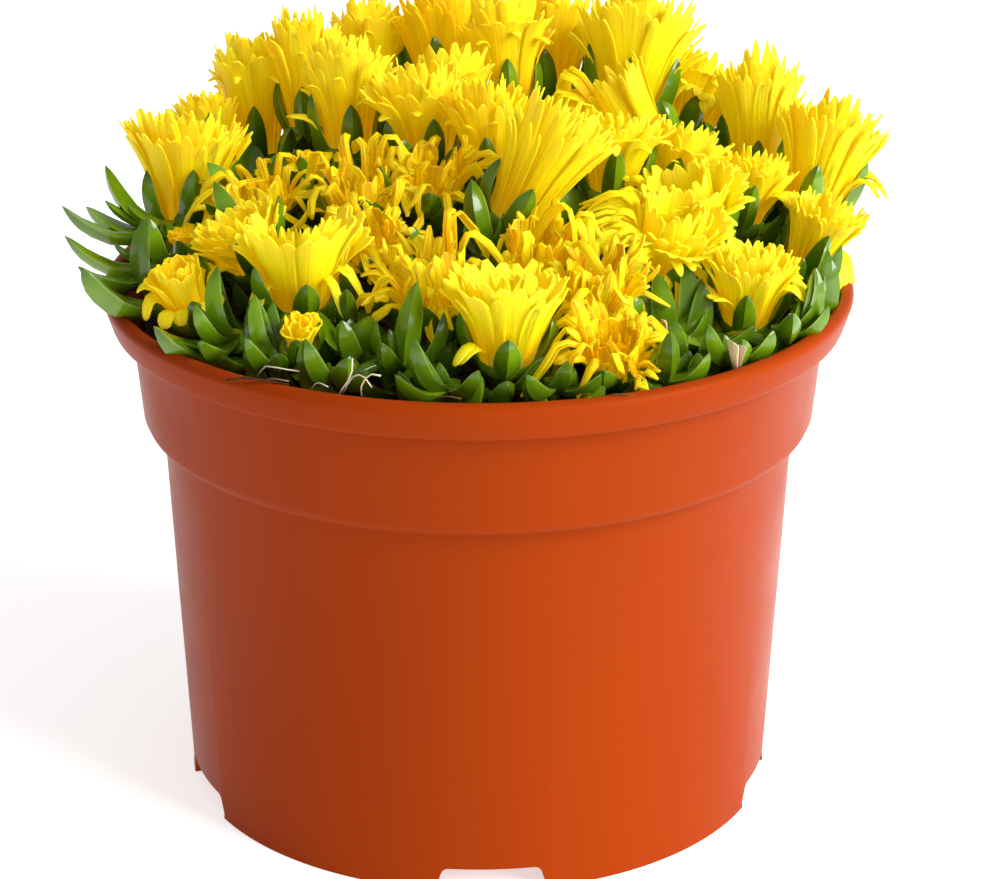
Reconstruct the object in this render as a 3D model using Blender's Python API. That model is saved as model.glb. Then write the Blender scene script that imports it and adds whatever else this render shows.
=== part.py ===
"""A flowering ice plant in a round nursery pot.

Sizes are in millimetres here and become metres when a mesh is made.
+Z is up, and the origin is the middle of the circle that the pot stands on.
The front of the plant faces -Y.
"""

import math
import random

import bmesh
import bpy
from mathutils import Vector
from mathutils.bvhtree import BVHTree

MM = 0.001
GAP = 0.3

# Pot: a thin turned shell with a wide collar, a rolled lip and a notched foot ring.
POT_HEIGHT = 85.6
LIP_RADIUS = 60.0
LIP_DEPTH = 5.8
COLLAR_TOP_RADIUS = 55.6
COLLAR_LOW_RADIUS = 54.2
COLLAR_LOW_Z = 62.8
BODY_TOP_RADIUS = 51.0
BASE_RADIUS = 48.0
FOOT_HEIGHT = 4.0
WALL = 1.2
POT_SEGMENTS = 36
NOTCHES = 5
NOTCH_WIDTH = 20.0
NOTCH_TOP_WIDTH = 15.0
FRONT_NOTCH_BEARING = -87.5
DRAIN_RADIUS = 3.5
DRAIN_REACH = 34.0

# Soil: fills the pot to a few millimetres below the lip and rises a little in the middle.
SOIL_EDGE_Z = 79.0
SOIL_RISE = 3.0
SOIL_LUMP = 0.5
STEM_DEPTH = 12.0

# Green parts: stems and branches, the cups that hold the blooms, and leaves.
STEM_RADIUS = 1.8
STEM_SIDES = 6
BRANCH_RADIUS = 1.3
BRANCH_SIDES = 4
LEAF_BAND = 2.6
CUP_HEIGHT = 3.0
CUP_RADIUS = 3.9
CUP_WALL = 1.1
LOBE_LENGTH = 9.0
LOBE_WIDTH = 4.0
LOBE_THICKNESS = 1.5
LEAF_WIDTH = 4.3
LEAF_DEPTH = 0.75
LEAF_KEEL = 0.4

LEAF_CREASE_DEGREES = 40

# Petals.
PETAL_THICKNESS = 0.8

# Where the stems leave the soil: x, y.
STEMS = [
    (-42, 11), (-34, 33), (-21, 18), (-8, 41), (-3, 17),
    (18, 42), (29, 18), (45, 15), (43, -3), (22, -7),
    (37, -24), (13, -33), (-5, -13), (-9, -36), (-34, -21),
]

# Blooms: name, foot of the green cup, tip of the brush of petals, radius at the tips, form.
BLOOMS = [
    ("left_fan", (-49, 15, 87), (-48, 14, 109), 10.5, "fan"),
    ("left_back_small", (-44, 30, 93), (-46, 32, 105), 5.5, "fan"),
    ("left_back_fan", (-37, 34, 92), (-38, 37, 113), 7, "fan"),
    ("back_left_1", (-28, 30, 98), (-29, 33, 118), 6.5, "fan"),
    ("tall_left", (-21, 18, 98), (-22, 20, 117), 7, "fan"),
    ("back_left_2", (-18, 41, 100), (-19, 45, 117), 7, "fan"),
    ("middle_left", (-8, 13, 98), (-10, 11, 117), 8, "fan"),
    ("middle_back", (-3, 24, 98), (-3, 26, 114), 6, "fan"),
    ("back_1", (-5, 38, 101), (-4, 43, 119), 7, "fan"),
    ("back_2", (5, 27, 102), (4, 30, 121), 6.5, "fan"),
    ("back_3", (12, 41, 100), (11, 46, 118), 7.5, "fan"),
    ("middle", (2, 4, 98), (1, 3, 115), 6, "fan"),
    ("leaning_fan", (4, -12, 96), (14, -14, 117), 9, "fan"),
    ("back_big_fan", (25, 31, 100), (27, 34, 121), 10.5, "fan"),
    ("back_arching", (29, 19, 98), (21, 17, 114), 9, "flared"),
    ("right_middle_1", (21, 2, 96), (22, 1, 111), 6.5, "fan"),
    ("back_right", (34, 34, 96), (39, 38, 111), 8.5, "flared"),
    ("right_tall", (46, 22, 90), (46, 25, 114), 7.5, "fan"),
    ("right_fan", (53, 12, 89), (58, 13, 110), 9, "fan"),
    ("right_low", (51, 0, 84), (56, -3, 98), 8, "flared"),
    ("right_middle_2", (29, 7, 94), (34, 6, 107), 6, "fan"),
    ("right_pair", (42, 8, 89), (45, 8, 102), 5.5, "fan"),
    ("right_flared", (35, -4, 90), (30, -8, 104), 10.5, "flared"),
    ("right_front_flared", (27, -14, 90), (30, -18, 104), 9, "flared"),
    ("right_front_fan", (41, -20, 82), (42, -24, 98), 8.5, "fan"),
    ("left_front_small", (-43, -22, 84), (-46, -26, 96), 6.5, "flared"),
    ("left_front_flared", (-27, -25, 87), (-27, -29, 103), 10, "flared"),
    ("left_golden", (-34, -12, 89), (-38, -15, 99), 7, "fan"),
    ("left_wilted", (-34, 1, 93), (-35, -1, 102), 9, "wilted"),
    ("left_bud", (-27, 9, 95), (-27, 9, 103), 4, "bud"),
    ("wilted_star", (-18, -6, 95), (-19, -8, 107), 7, "wilted"),
    ("middle_wilted", (-8, -3, 97), (-7, -6, 108), 8, "wilted"),
    ("front_wilted_1", (-15, -18, 92), (-17, -22, 103), 7, "wilted"),
    ("front_wilted_2", (-6, -31, 88), (-8, -35, 101), 7, "wilted"),
    ("front_flared", (4, -41, 84), (5, -45, 100), 9.5, "flared"),
    ("front_wilted_3", (9, -24, 91), (9, -28, 103), 7, "wilted"),
    ("front_spidery_1", (17, -30, 87), (18, -35, 101), 10, "wilted"),
    ("front_spidery_2", (20, -40, 83), (20, -45, 93), 9, "wilted"),
    ("front_bud", (-27, -37, 84), (-26, -41, 92), 3.2, "bud"),
    ("left_tiny_bud", (-46, -2, 87), (-47, -4, 94), 2.4, "bud"),
    ("rear_1", (-27, 45, 90), (-29, 50, 106), 7, "fan"),
    ("rear_2", (-3, 50, 89), (-3, 54, 105), 5.5, "fan"),
    ("rear_3", (24, 46, 90), (26, 51, 107), 7, "flared"),
]

# Leafy shoots along the rim: the foot of each shoot, then the tips of its leaves.
SHOOTS = [
    ((-50, 3, 91), [(-60, 8, 101), (-66, -1, 97), (-63, 5, 95)]),
    ((-49, -6, 88), [(-65, -7, 94), (-62, -16, 92), (-51, -11, 98)]),
    ((-37, -32, 85), [(-48, -36, 89), (-42, -37, 93), (-39, -31, 97), (-41, -42, 89)]),
    ((-30, -38, 84), [(-33, -38, 95), (-34, -46, 91), (-29, -47, 89)]),
    ((-21, -43, 83), [(-25, -49, 92), (-19, -49, 89), (-16, -49, 87)]),
    ((-18, -37, 84), [(-20, -41, 92), (-16, -36, 91), (-24, -34, 91)]),
    ((-11, -41, 84), [(-9, -41, 98), (-5, -43, 94), (-15, -41, 92), (-14, -48, 91)]),
    ((-4, -48, 83), [(-9, -52, 93), (0, -54, 89), (-12, -53, 88)]),
    ((11, -47, 83), [(13, -50, 89), (7, -53, 88), (18, -50, 87)]),
    ((31, -30, 84), [(34, -25, 93), (41, -33, 88), (23, -35, 90)]),
    ((27, -42, 82), [(28, -46, 92), (22, -49, 87), (34, -44, 88)]),
    ((38, -35, 83), [(34, -40, 91), (39, -41, 89), (44, -37, 89)]),
    ((46, -27, 84), [(51, -26, 95), (47, -35, 91), (53, -29, 90)]),
    ((50, -13, 85), [(54, -17, 95), (56, -10, 92), (53, -21, 91)]),
    ((1, -16, 94), [(-1, -16, 106), (6, -20, 100)]),
]

# Leafy shoots round the back rim follow a rule: bearings in degrees, 0 is +X.
REAR_BEARINGS = [-8, 14, 34, 52, 70, 88, 106, 124, 142, 160]
REAR_REACH = 49.5
REAR_HEIGHT = 84.0

# Leafy shoots in the middle of the plant also follow a rule: x, y.
MIDDLE_SHOOTS = [
    (-37, 21), (-29, -9), (-14, 6), (-13, 30), (5, 15), (10, 30), (14, -6), (37, 21),
    (21, -21), (34, -13), (-20, -28), (-24, -14), (3, -25), (-28, 22),
]
MIDDLE_HEIGHT = 86.0

# Forms of bloom. All petals grow from a funnel: its number of sides, its radius at the cup,
# and the radius and height of its rim. Each side of the rim grows an outer petal, and every
# second side of its middle an inner one. A petal passes through places given by a radius and
# a height. Radii are parts of the bloom's own radius, heights of its length above the cup.
# The width is a petal's, in millimetres, on a bloom of full size.
FORMS = {
    "fan": {
        "sides": 8,
        "funnel": (1.6, 0.42, 0.46),
        "outer": [(0.72, 0.74), (1.00, 0.97)],
        "inner": [(0.28, 0.74), (0.40, 1.03)],
        "width": 3.2,
        "shake": 0.08,
    },
    "flared": {
        "sides": 8,
        "funnel": (1.6, 0.36, 0.42),
        "outer": [(0.62, 0.68), (0.92, 0.72), (1.06, 0.50)],
        "inner": [(0.30, 0.74), (0.44, 1.03)],
        "width": 3.0,
        "shake": 0.12,
    },
    "wilted": {
        "sides": 6,
        "funnel": (1.4, 0.32, 0.38),
        "outer": [(0.56, 0.62), (0.86, 0.60), (1.04, 0.38)],
        "inner": [(0.30, 0.72), (0.46, 0.98)],
        "width": 2.2,
        "shake": 0.16,
    },
    "bud": {
        "sides": 6,
        "funnel": (1.3, 0.72, 0.40),
        "outer": [(0.86, 0.70), (0.34, 1.00)],
        "inner": [],
        "width": 3.0,
        "shake": 0.05,
    },
}


def material(name, colour, roughness, specular=0.5):
    """A plain surface of one colour."""
    surface = bpy.data.materials.new(name)
    surface.use_nodes = True
    shader = surface.node_tree.nodes["Principled BSDF"]
    shader.inputs["Base Color"].default_value = (*colour, 1.0)
    shader.inputs["Roughness"].default_value = roughness
    shader.inputs["Metallic"].default_value = 0.0
    shader.inputs["Specular IOR Level"].default_value = specular
    return surface


def signed_volume(points, faces):
    """Six times the volume; negative if the faces point inwards."""
    total = 0.0
    for face in faces:
        for second, third in zip(face[1:], face[2:]):
            total += points[face[0]].dot(points[second].cross(points[third]))
    return total


def facing_out(points, faces):
    """The same solid with its faces pointing out."""
    if signed_volume(points, faces) < 0:
        faces = [tuple(reversed(face)) for face in faces]
    return points, faces


def skin(rings, tip=None):
    """Faces over rings of equal size, closed by a flat root and by a tip or a flat top."""
    sides = len(rings[0])
    points = [p for ring in rings for p in ring]
    faces = [tuple(range(sides))]
    for step in range(len(rings) - 1):
        low = step * sides
        high = low + sides
        for side in range(sides):
            after = (side + 1) % sides
            faces.append((low + after, low + side, high + side, high + after))
    last = (len(rings) - 1) * sides
    if tip is None:
        faces.append(tuple(last + side for side in reversed(range(sides))))
    else:
        points.append(tip)
        for side in range(sides):
            faces.append((last + (side + 1) % sides, last + side, len(points) - 1))
    return facing_out(points, faces)


def across(direction):
    """Two unit vectors at right angles to a direction, the first one level."""
    side = Vector((0, 0, 1)).cross(direction)
    if side.length < 0.05:
        side = Vector((1, 0, 0))
    side.normalize()
    return side, direction.cross(side).normalized()


def curve(start, first_pull, second_pull, end, steps):
    """Points along a smooth curve between two ends."""
    points = []
    for step in range(steps + 1):
        t = step / steps
        s = 1 - t
        points.append(start * s**3 + first_pull * (3 * s * s * t) + second_pull * (3 * s * t * t) + end * t**3)
    return points


def tube_rings(path, radii, sides):
    """Rings of points round a path."""
    rings = []
    first_side, _ = across((path[1] - path[0]).normalized())
    for place, radius in enumerate(radii):
        before = path[max(place - 1, 0)]
        after = path[min(place + 1, len(path) - 1)]
        along = (after - before).normalized()
        side = (first_side - along * first_side.dot(along)).normalized()
        up = along.cross(side)
        turns = [2 * math.pi * k / sides for k in range(sides)]
        rings.append([path[place] + (side * math.cos(t) + up * math.sin(t)) * radius for t in turns])
    return rings


def turned(profile, segments):
    """A mesh spun round the Z axis from a profile of (radius, z)."""
    work = bmesh.new()
    line = [work.verts.new((radius * MM, 0, z * MM)) for radius, z in profile]
    edges = [work.edges.new(pair) for pair in zip(line, line[1:])]
    bmesh.ops.spin(
        work,
        geom=line + edges,
        cent=(0, 0, 0),
        axis=(0, 0, 1),
        angle=2 * math.pi,
        steps=segments,
        use_merge=True,
    )
    bmesh.ops.remove_doubles(work, verts=work.verts, dist=1e-6)
    bmesh.ops.recalc_face_normals(work, faces=work.faces)
    return work


def cutter(name, work):
    """An object that only cuts, from a working mesh."""
    mesh = bpy.data.meshes.new(name)
    bmesh.ops.recalc_face_normals(work, faces=work.faces)
    work.to_mesh(mesh)
    work.free()
    made = bpy.data.objects.new(name, mesh)
    bpy.context.scene.collection.objects.link(made)
    return made


def apply_boolean(target, tools, operation, solver="EXACT"):
    """Cut or join a list of objects, then remove them."""
    group = bpy.data.collections.new("tools")
    bpy.context.scene.collection.children.link(group)
    for tool in tools:
        bpy.context.scene.collection.objects.unlink(tool)
        group.objects.link(tool)
    change = target.modifiers.new("change", "BOOLEAN")
    change.operation = operation
    change.operand_type = "COLLECTION"
    change.collection = group
    change.solver = solver
    bpy.context.view_layer.objects.active = target
    bpy.ops.object.modifier_apply(modifier="change")
    for tool in tools:
        spare = tool.data
        bpy.data.objects.remove(tool)
        bpy.data.meshes.remove(spare)
    bpy.data.collections.remove(group)


def keep_one_body(made):
    """Drop loose scraps and fill sealed hollows: only the largest skin stays."""
    work = bmesh.new()
    work.from_mesh(made.data)
    unseen = set(work.faces)
    skins = []
    while unseen:
        group = [unseen.pop()]
        for face in group:
            for edge in face.edges:
                if len(edge.link_faces) != 2:
                    continue
                for other in edge.link_faces:
                    if other in unseen:
                        unseen.remove(other)
                        group.append(other)
        skins.append(group)
    skins.sort(key=len, reverse=True)
    loose = [face for group in skins[1:] for face in group]
    bmesh.ops.delete(work, geom=loose, context="FACES")
    work.to_mesh(made.data)
    work.free()


def pot_object(surface):
    """The pot: one turned shell with notches under the foot ring and drain holes in the floor."""
    foot_inner = BASE_RADIUS - WALL - 0.4
    floor_top = FOOT_HEIGHT + WALL
    lip_low = POT_HEIGHT - LIP_DEPTH
    profile = [
        (0, floor_top),
        (BASE_RADIUS - 1.6, floor_top),
        (BODY_TOP_RADIUS - WALL, COLLAR_LOW_Z - 1.6),
        (COLLAR_LOW_RADIUS - WALL - 0.2, COLLAR_LOW_Z + 1.4),
        (COLLAR_TOP_RADIUS - WALL, lip_low - 0.6),
        (LIP_RADIUS - 3.2, lip_low + 1.0),
        (LIP_RADIUS - 2.6, POT_HEIGHT - 0.8),
        (LIP_RADIUS - 1.6, POT_HEIGHT),
        (LIP_RADIUS, POT_HEIGHT - 1.3),
        (LIP_RADIUS - 1.5, lip_low),
        (COLLAR_TOP_RADIUS, lip_low - 0.2),
        (COLLAR_LOW_RADIUS, COLLAR_LOW_Z + 1.6),
        (COLLAR_LOW_RADIUS - 0.6, COLLAR_LOW_Z + 0.2),
        (BODY_TOP_RADIUS + 0.4, COLLAR_LOW_Z - 0.4),
        (BODY_TOP_RADIUS, COLLAR_LOW_Z - 1.4),
        (BASE_RADIUS + 0.1, 0.9),
        (BASE_RADIUS + 0.3, 0),
        (foot_inner, 0),
        (foot_inner, FOOT_HEIGHT),
        (0, FOOT_HEIGHT),
    ]
    work = turned(profile, POT_SEGMENTS)
    mesh = bpy.data.meshes.new("pot")
    work.to_mesh(mesh)
    work.free()
    mesh.materials.append(surface)
    pot = bpy.data.objects.new("pot", mesh)
    bpy.context.scene.collection.objects.link(pot)
    cutters = []
    for number in range(NOTCHES):
        bearing = math.radians(FRONT_NOTCH_BEARING + 360 / NOTCHES * number)
        cutters.append(notch_cutter(bearing))
        cutters.append(drain_cutter(bearing))
    apply_boolean(pot, cutters, "DIFFERENCE")
    pot.data.shade_smooth()
    pot.data.set_sharp_from_angle(angle=math.radians(30))
    return pot


def notch_cutter(bearing):
    """A block with rounded upper corners that opens the foot ring at one bearing."""
    out = Vector((math.cos(bearing), math.sin(bearing), 0))
    side = Vector((-out.y, out.x, 0))
    top = FOOT_HEIGHT - 0.1
    half_low = NOTCH_WIDTH / 2
    half_top = NOTCH_TOP_WIDTH / 2
    outline = [
        (-half_low - 1.5, -1.0), (half_low + 1.5, -1.0), (half_low, 1.6),
        (half_top + 1.2, top - 0.8), (half_top - 0.4, top),
        (-half_top + 0.4, top), (-half_top - 1.2, top - 0.8), (-half_low, 1.6),
    ]
    near = [out * (BASE_RADIUS - 6.5) + side * across_ring + Vector((0, 0, z)) for across_ring, z in outline]
    far = [out * (BASE_RADIUS + 4.0) + side * across_ring + Vector((0, 0, z)) for across_ring, z in outline]
    points, faces = skin([near, far])
    work = bmesh.new()
    corners = [work.verts.new(p * MM) for p in points]
    for face in faces:
        work.faces.new([corners[k] for k in face])
    return cutter("notch", work)


def drain_cutter(bearing):
    """A round hole through the raised floor, behind a notch."""
    place = Vector((math.cos(bearing), math.sin(bearing), 0)) * DRAIN_REACH
    work = bmesh.new()
    bmesh.ops.create_cone(
        work,
        cap_ends=True,
        segments=12,
        radius1=DRAIN_RADIUS * MM,
        radius2=DRAIN_RADIUS * MM,
        depth=3 * WALL * MM,
    )
    centre = (place + Vector((0, 0, FOOT_HEIGHT + WALL / 2))) * MM
    bmesh.ops.translate(work, verts=work.verts, vec=centre)
    return cutter("drain", work)


def soil_height(reach):
    """The soil's surface at a distance from the pot's axis."""
    return SOIL_EDGE_Z + SOIL_RISE * (1 - (reach / COLLAR_TOP_RADIUS) ** 2)


def soil_object(surface):
    """The potting soil, with a plain hole for each stem."""
    floor_z = FOOT_HEIGHT + WALL + GAP
    edge = COLLAR_TOP_RADIUS - WALL - GAP
    profile = [(0, soil_height(0))]
    for reach in (17, 33, 47):
        profile.append((reach, soil_height(reach)))
    profile += [
        (edge - 0.5, SOIL_EDGE_Z - 1.0),
        (COLLAR_LOW_RADIUS - WALL - 0.2 - GAP, COLLAR_LOW_Z + 1.4 + GAP / 2),
        (BODY_TOP_RADIUS - WALL - GAP, COLLAR_LOW_Z - 1.6 + GAP / 2),
        (BASE_RADIUS - 1.7 - GAP, floor_z),
        (0, floor_z),
    ]
    work = turned(profile, POT_SEGMENTS)
    draw = random.Random(7)
    for vert in work.verts:
        reach = math.hypot(vert.co.x, vert.co.y) / MM
        if vert.co.z > (SOIL_EDGE_Z - 1) * MM and reach < edge - 2:
            vert.co.z += draw.uniform(-SOIL_LUMP, SOIL_LUMP) * MM
    mesh = bpy.data.meshes.new("soil")
    work.to_mesh(mesh)
    work.free()
    mesh.materials.append(surface)
    soil = bpy.data.objects.new("soil", mesh)
    bpy.context.scene.collection.objects.link(soil)
    holes = []
    for x, y in STEMS:
        work = bmesh.new()
        depth = STEM_DEPTH + 6
        bmesh.ops.create_cone(
            work,
            cap_ends=True,
            segments=STEM_SIDES,
            radius1=(STEM_RADIUS + 2 * GAP) * MM,
            radius2=(STEM_RADIUS + 2 * GAP) * MM,
            depth=depth * MM,
        )
        bottom = soil_height(math.hypot(x, y)) - STEM_DEPTH - GAP
        bmesh.ops.translate(work, verts=work.verts, vec=Vector((x, y, bottom + depth / 2)) * MM)
        holes.append(cutter("stem_hole", work))
    apply_boolean(soil, holes, "DIFFERENCE")
    soil.data.shade_smooth()
    soil.data.set_sharp_from_angle(angle=math.radians(45))
    return soil


def search_tree(solids):
    """A tree of faces for finding crossings."""
    points = []
    faces = []
    for solid_points, solid_faces in solids:
        start = len(points)
        points += solid_points
        faces += [tuple(start + k for k in face) for face in solid_faces]
    return BVHTree.FromPolygons(points, faces)


def crosses_itself(solid):
    """Whether faces of a solid cross that share no corner."""
    _, faces = solid
    tree = search_tree([solid])
    return any(not set(faces[a]) & set(faces[b]) for a, b in tree.overlap(tree))


class Layout:
    """Everything placed so far, so that a new blade can be bent clear of it."""

    def __init__(self):
        self.solids = {}
        self.inner = {}
        self.others = None

    def add(self, node, solid, past_root=None):
        """A solid as its neighbours see it, and as its own node does, where its root may touch."""
        self.solids.setdefault(node, []).append(solid)
        self.inner.setdefault(node, []).append(past_root or solid)

    def add_object(self, node, made):
        points = [vert.co / MM for vert in made.data.vertices]
        faces = [tuple(face.vertices) for face in made.data.polygons]
        self.add(node, (points, faces))

    def look_from(self, node):
        """Make the search tree of every solid that isn't the node's own."""
        self.others = search_tree([s for name, group in self.solids.items() if name != node for s in group])

    def is_clear(self, node, blade):
        whole, _ = blade.solids(GAP * 0.6)
        if self.others.overlap(search_tree([whole])) or crosses_itself(whole):
            return False
        _, past_root = blade.solids(0.05)
        return not search_tree(self.inner[node]).overlap(search_tree([past_root]))


class Blade:
    """A petal, leaf or lobe that grows out of one face, through stations, to a point.

    A station is (centre, width, thickness). The face's corners keep their places
    across the blade and towards its back, and keel narrows the back.
    """

    def __init__(self, face, stations, tip, back, keel=1.0):
        self.root = [vert.co.copy() for vert in face.verts]
        self.stations = stations
        self.tip = tip
        self.centre = sum(self.root, Vector()) / len(self.root)
        along = (stations[0][0] - self.centre).normalized()
        self.side = along.cross(back).normalized()
        ridge = self.side.cross(along)
        sideways = [(p - self.centre).dot(self.side) for p in self.root]
        backward = [(p - self.centre).dot(ridge) for p in self.root]
        wide = max(abs(a) for a in sideways)
        deep = max(max(abs(b) for b in backward), 0.05)
        self.places = []
        for a, b in zip(sideways, backward):
            self.places.append((a / wide * (keel if b > 0 else 1.0), b / deep))

    def rings(self, grow=0.0):
        """The corners at each station. The blade curls, but never turns over between two."""
        ahead = [centre for centre, _, _ in self.stations[1:]] + [self.tip]
        before = self.centre
        side = self.side
        rings = []
        for (centre, width, thickness), after in zip(self.stations, ahead):
            along = (after - before).normalized()
            side = (side - along * side.dot(along)).normalized()
            ridge = side.cross(along)
            half = width / 2 + grow
            deep = thickness / 2 + grow
            rings.append([centre + side * (a * half) + ridge * (b * deep) for a, b in self.places])
            before = centre
        return rings

    def solids(self, grow=0.0):
        """The blade as closed solids: whole, and from a little past its root."""
        rings = self.rings(grow)
        neck = [low.lerp(high, 0.15) for low, high in zip(self.root, rings[0])]
        end = (self.tip - self.stations[-1][0]).normalized()
        tip = self.tip + end * grow
        return skin([self.root] + rings, tip), skin([neck] + rings, tip)

    def grow_from(self, work, face):
        """Extrude the face of a working mesh into the blade."""
        before = self.root
        for ring in self.rings():
            face = bmesh.ops.extrude_discrete_faces(work, faces=[face])["faces"][0]
            for vert in face.verts:
                corner = min(range(len(before)), key=lambda k: (before[k] - vert.co).length)
                vert.co = ring[corner]
            before = ring
        made = bmesh.ops.poke(work, faces=[face])
        made["verts"][0].co = self.tip


def working_mesh(solid):
    """A working mesh in millimetres, and its faces in the order given."""
    points, faces = solid
    work = bmesh.new()
    verts = [work.verts.new(p) for p in points]
    made = [work.faces.new([verts[k] for k in face]) for face in faces]
    work.normal_update()
    return work, made


def grow_first_clear(layout, node, work, face, trials):
    """Grow the first of several shapes of a blade that crosses nothing."""
    for blade in trials:
        if layout.is_clear(node, blade):
            layout.add(node, *blade.solids())
            blade.grow_from(work, face)
            return


def nearest_stem(place):
    """The stem that carries a bloom or a shoot."""
    return min(range(len(STEMS)), key=lambda k: math.hypot(place[0] - STEMS[k][0], place[1] - STEMS[k][1]))


def stem_name(stem):
    return f"stem_{stem + 1:02d}"


def crown(stem):
    """The top of a stem, just above the soil."""
    x, y = STEMS[stem]
    return Vector((x, y, soil_height(math.hypot(x, y)) + 2.2))


def above_soil(place):
    """The same place, lifted where a branch would lie in the soil."""
    lowest = soil_height(math.hypot(place.x, place.y)) + SOIL_LUMP + BRANCH_RADIUS + GAP
    return Vector((place.x, place.y, max(place.z, lowest)))


def branch_path(stem, end, arriving):
    """The line of a branch from its stem to its end, with a last short band for leaves."""
    start = crown(stem) - Vector((0, 0, 1.0))
    span = (end - start).length
    rise = start + Vector((0, 0, 0.45 * span)) + (end - start) * 0.12
    steps = 2 if span > 9 else 1
    band = above_soil(end - arriving * LEAF_BAND)
    return curve(start, rise, above_soil(band - arriving * (0.3 * span)), band, steps) + [end]


class Bloom:
    """One flower head: its place, its green cup and its funnel of petals."""

    def __init__(self, name, foot, tip, radius, form):
        self.name = name
        self.foot = Vector(foot)
        self.axis = (Vector(tip) - self.foot).normalized()
        self.length = (Vector(tip) - self.foot).length - CUP_HEIGHT
        self.radius = radius
        self.form = FORMS[form]
        self.stem = nearest_stem(foot)
        self.side, self.up = across(self.axis)
        self.scale = min(1.0, 0.6 + radius / 20)
        low, rim, part = self.form["funnel"]
        self.low_radius = low * self.scale
        self.rim_radius = max(rim * radius, self.low_radius + 0.4)
        self.rim_height = CUP_HEIGHT + part * self.length

    def out(self, turn):
        return self.side * math.cos(turn) + self.up * math.sin(turn)

    def turn_of(self, place):
        """The turn round the axis at which a point lies."""
        spoke = place - self.foot
        return math.atan2(spoke.dot(self.up), spoke.dot(self.side))

    def at(self, turn, radius, height):
        """A point at a turn round the axis, a radius and a height above the foot."""
        return self.foot + self.out(turn) * radius + self.axis * height

    def funnel_radius(self, height):
        part = (height - CUP_HEIGHT) / (self.rim_height - CUP_HEIGHT)
        return self.low_radius + (self.rim_radius - self.low_radius) * min(part, 1.2)

    def funnel(self, turn):
        """The funnel that all petals grow from, as points and faces."""
        sides = self.form["sides"]
        turns = [turn + 2 * math.pi * k / sides for k in range(sides)]
        inner = self.rim_radius - PETAL_THICKNESS * 1.1
        return skin([
            [self.at(t, self.low_radius, CUP_HEIGHT + GAP) for t in turns],
            [self.at(t, self.rim_radius, self.rim_height) for t in turns],
            [self.at(t, inner, self.rim_height + 0.2) for t in turns],
        ])

    def petal(self, face, places, draws, bend):
        """A petal through its places; bend pulls it in or aside."""
        reach, lift, wave = draws
        closer, aside = bend
        turn = self.turn_of(face.calc_center_median())
        points = []
        for number, (radius, height) in enumerate(places):
            here = turn + aside + wave * (number + 1)
            out = radius * reach * closer * self.radius
            rise = height + (1.0 - height) * (1 - closer)
            points.append(self.at(here, out, CUP_HEIGHT + rise * lift * self.length))
        width = self.form["width"] * self.scale
        stations = [(p, width, PETAL_THICKNESS) for p in points[:-1]]
        return Blade(face, stations, points[-1], self.out(turn))

    def lobe(self, face, spread):
        """A fleshy pointed lobe of the cup, hugging the funnel."""
        turn = self.turn_of(face.calc_center_median())
        length = LOBE_LENGTH * self.scale
        thickness = LOBE_THICKNESS * self.scale
        middle = CUP_HEIGHT + 0.5 * length
        end = CUP_HEIGHT + length
        free = GAP + 0.5 * thickness + 0.2
        belly = self.at(turn, self.funnel_radius(middle) + free + 0.3 * spread, middle)
        tip = self.at(turn, self.funnel_radius(end) + free + spread, end)
        return Blade(face, [(belly, LOBE_WIDTH * self.scale, thickness)], tip, self.out(turn), LEAF_KEEL)


def grow_funnel(layout, bloom, number):
    """The funnel of a bloom, ready for its petals."""
    solid = bloom.funnel(0.35 * number)
    layout.add(bloom.name, solid)
    return working_mesh(solid)


def grow_petals(layout, bloom, work, faces, draw):
    """The outer petals from the funnel's rim and the inner ones from its middle."""
    sides = bloom.form["sides"]
    shake = bloom.form["shake"]
    rim = faces[1 + sides:1 + 2 * sides]
    rows = [(face, bloom.form["outer"]) for face in rim]
    if bloom.form["inner"]:
        middle = bmesh.ops.poke(work, faces=[faces[-1]])["faces"]
        middle.sort(key=lambda face: bloom.turn_of(face.calc_center_median()))
        rows += [(face, bloom.form["inner"]) for face in middle[::2]]
    for face, places in rows:
        reach = 1 + draw.uniform(-shake, shake)
        lift = 1 + draw.uniform(-shake, 0.4 * shake)
        draws = (reach, lift, draw.uniform(-shake, shake))
        bends = [(1 - 0.04 * k, (0, 0.16, -0.16, 0.3, -0.3)[k % 5]) for k in range(20)]
        trials = [bloom.petal(face, places, draws, bend) for bend in bends]
        grow_first_clear(layout, bloom.name, work, face, trials)


def leaf(face, tip, width, slim=False):
    """A fleshy leaf with a keel below, bowed down and out on its way to its tip."""
    foot = face.calc_center_median()
    line = tip - foot
    out = Vector((line.x, line.y, 0))
    if out.length < 0.35 * line.length:
        out = Vector((foot.x, foot.y, 0))
    down = out.normalized() - Vector((0, 0, 0.9))
    down = (down - line * down.dot(line) / line.length_squared).normalized()
    bow = 0.17 * line.length
    belly = foot + line * 0.40 + down * bow
    high = foot + line * 0.74 + down * (0.75 * bow)
    stations = [(belly, width, width * LEAF_DEPTH)]
    if not slim:
        stations.append((high, width * 0.74, width * 0.74 * LEAF_DEPTH))
    return Blade(face, stations, tip, down, LEAF_KEEL)


def grow_leaf(layout, node, work, face, tip, width, slim=False):
    """One leaf, lifted, turned or shortened until it is clear."""
    foot = face.calc_center_median()
    trials = []
    for trial in range(14):
        sideways = Vector((0, 0, 1)).cross(tip - foot) * (0, 0.09, -0.09)[trial % 3]
        aim = foot + (tip - foot + Vector((0, 0, 0.7 * trial)) + sideways) * (1 - 0.04 * trial)
        trials.append(leaf(face, aim, width * (1 - 0.03 * trial), slim))
    grow_first_clear(layout, node, work, face, trials)


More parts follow.
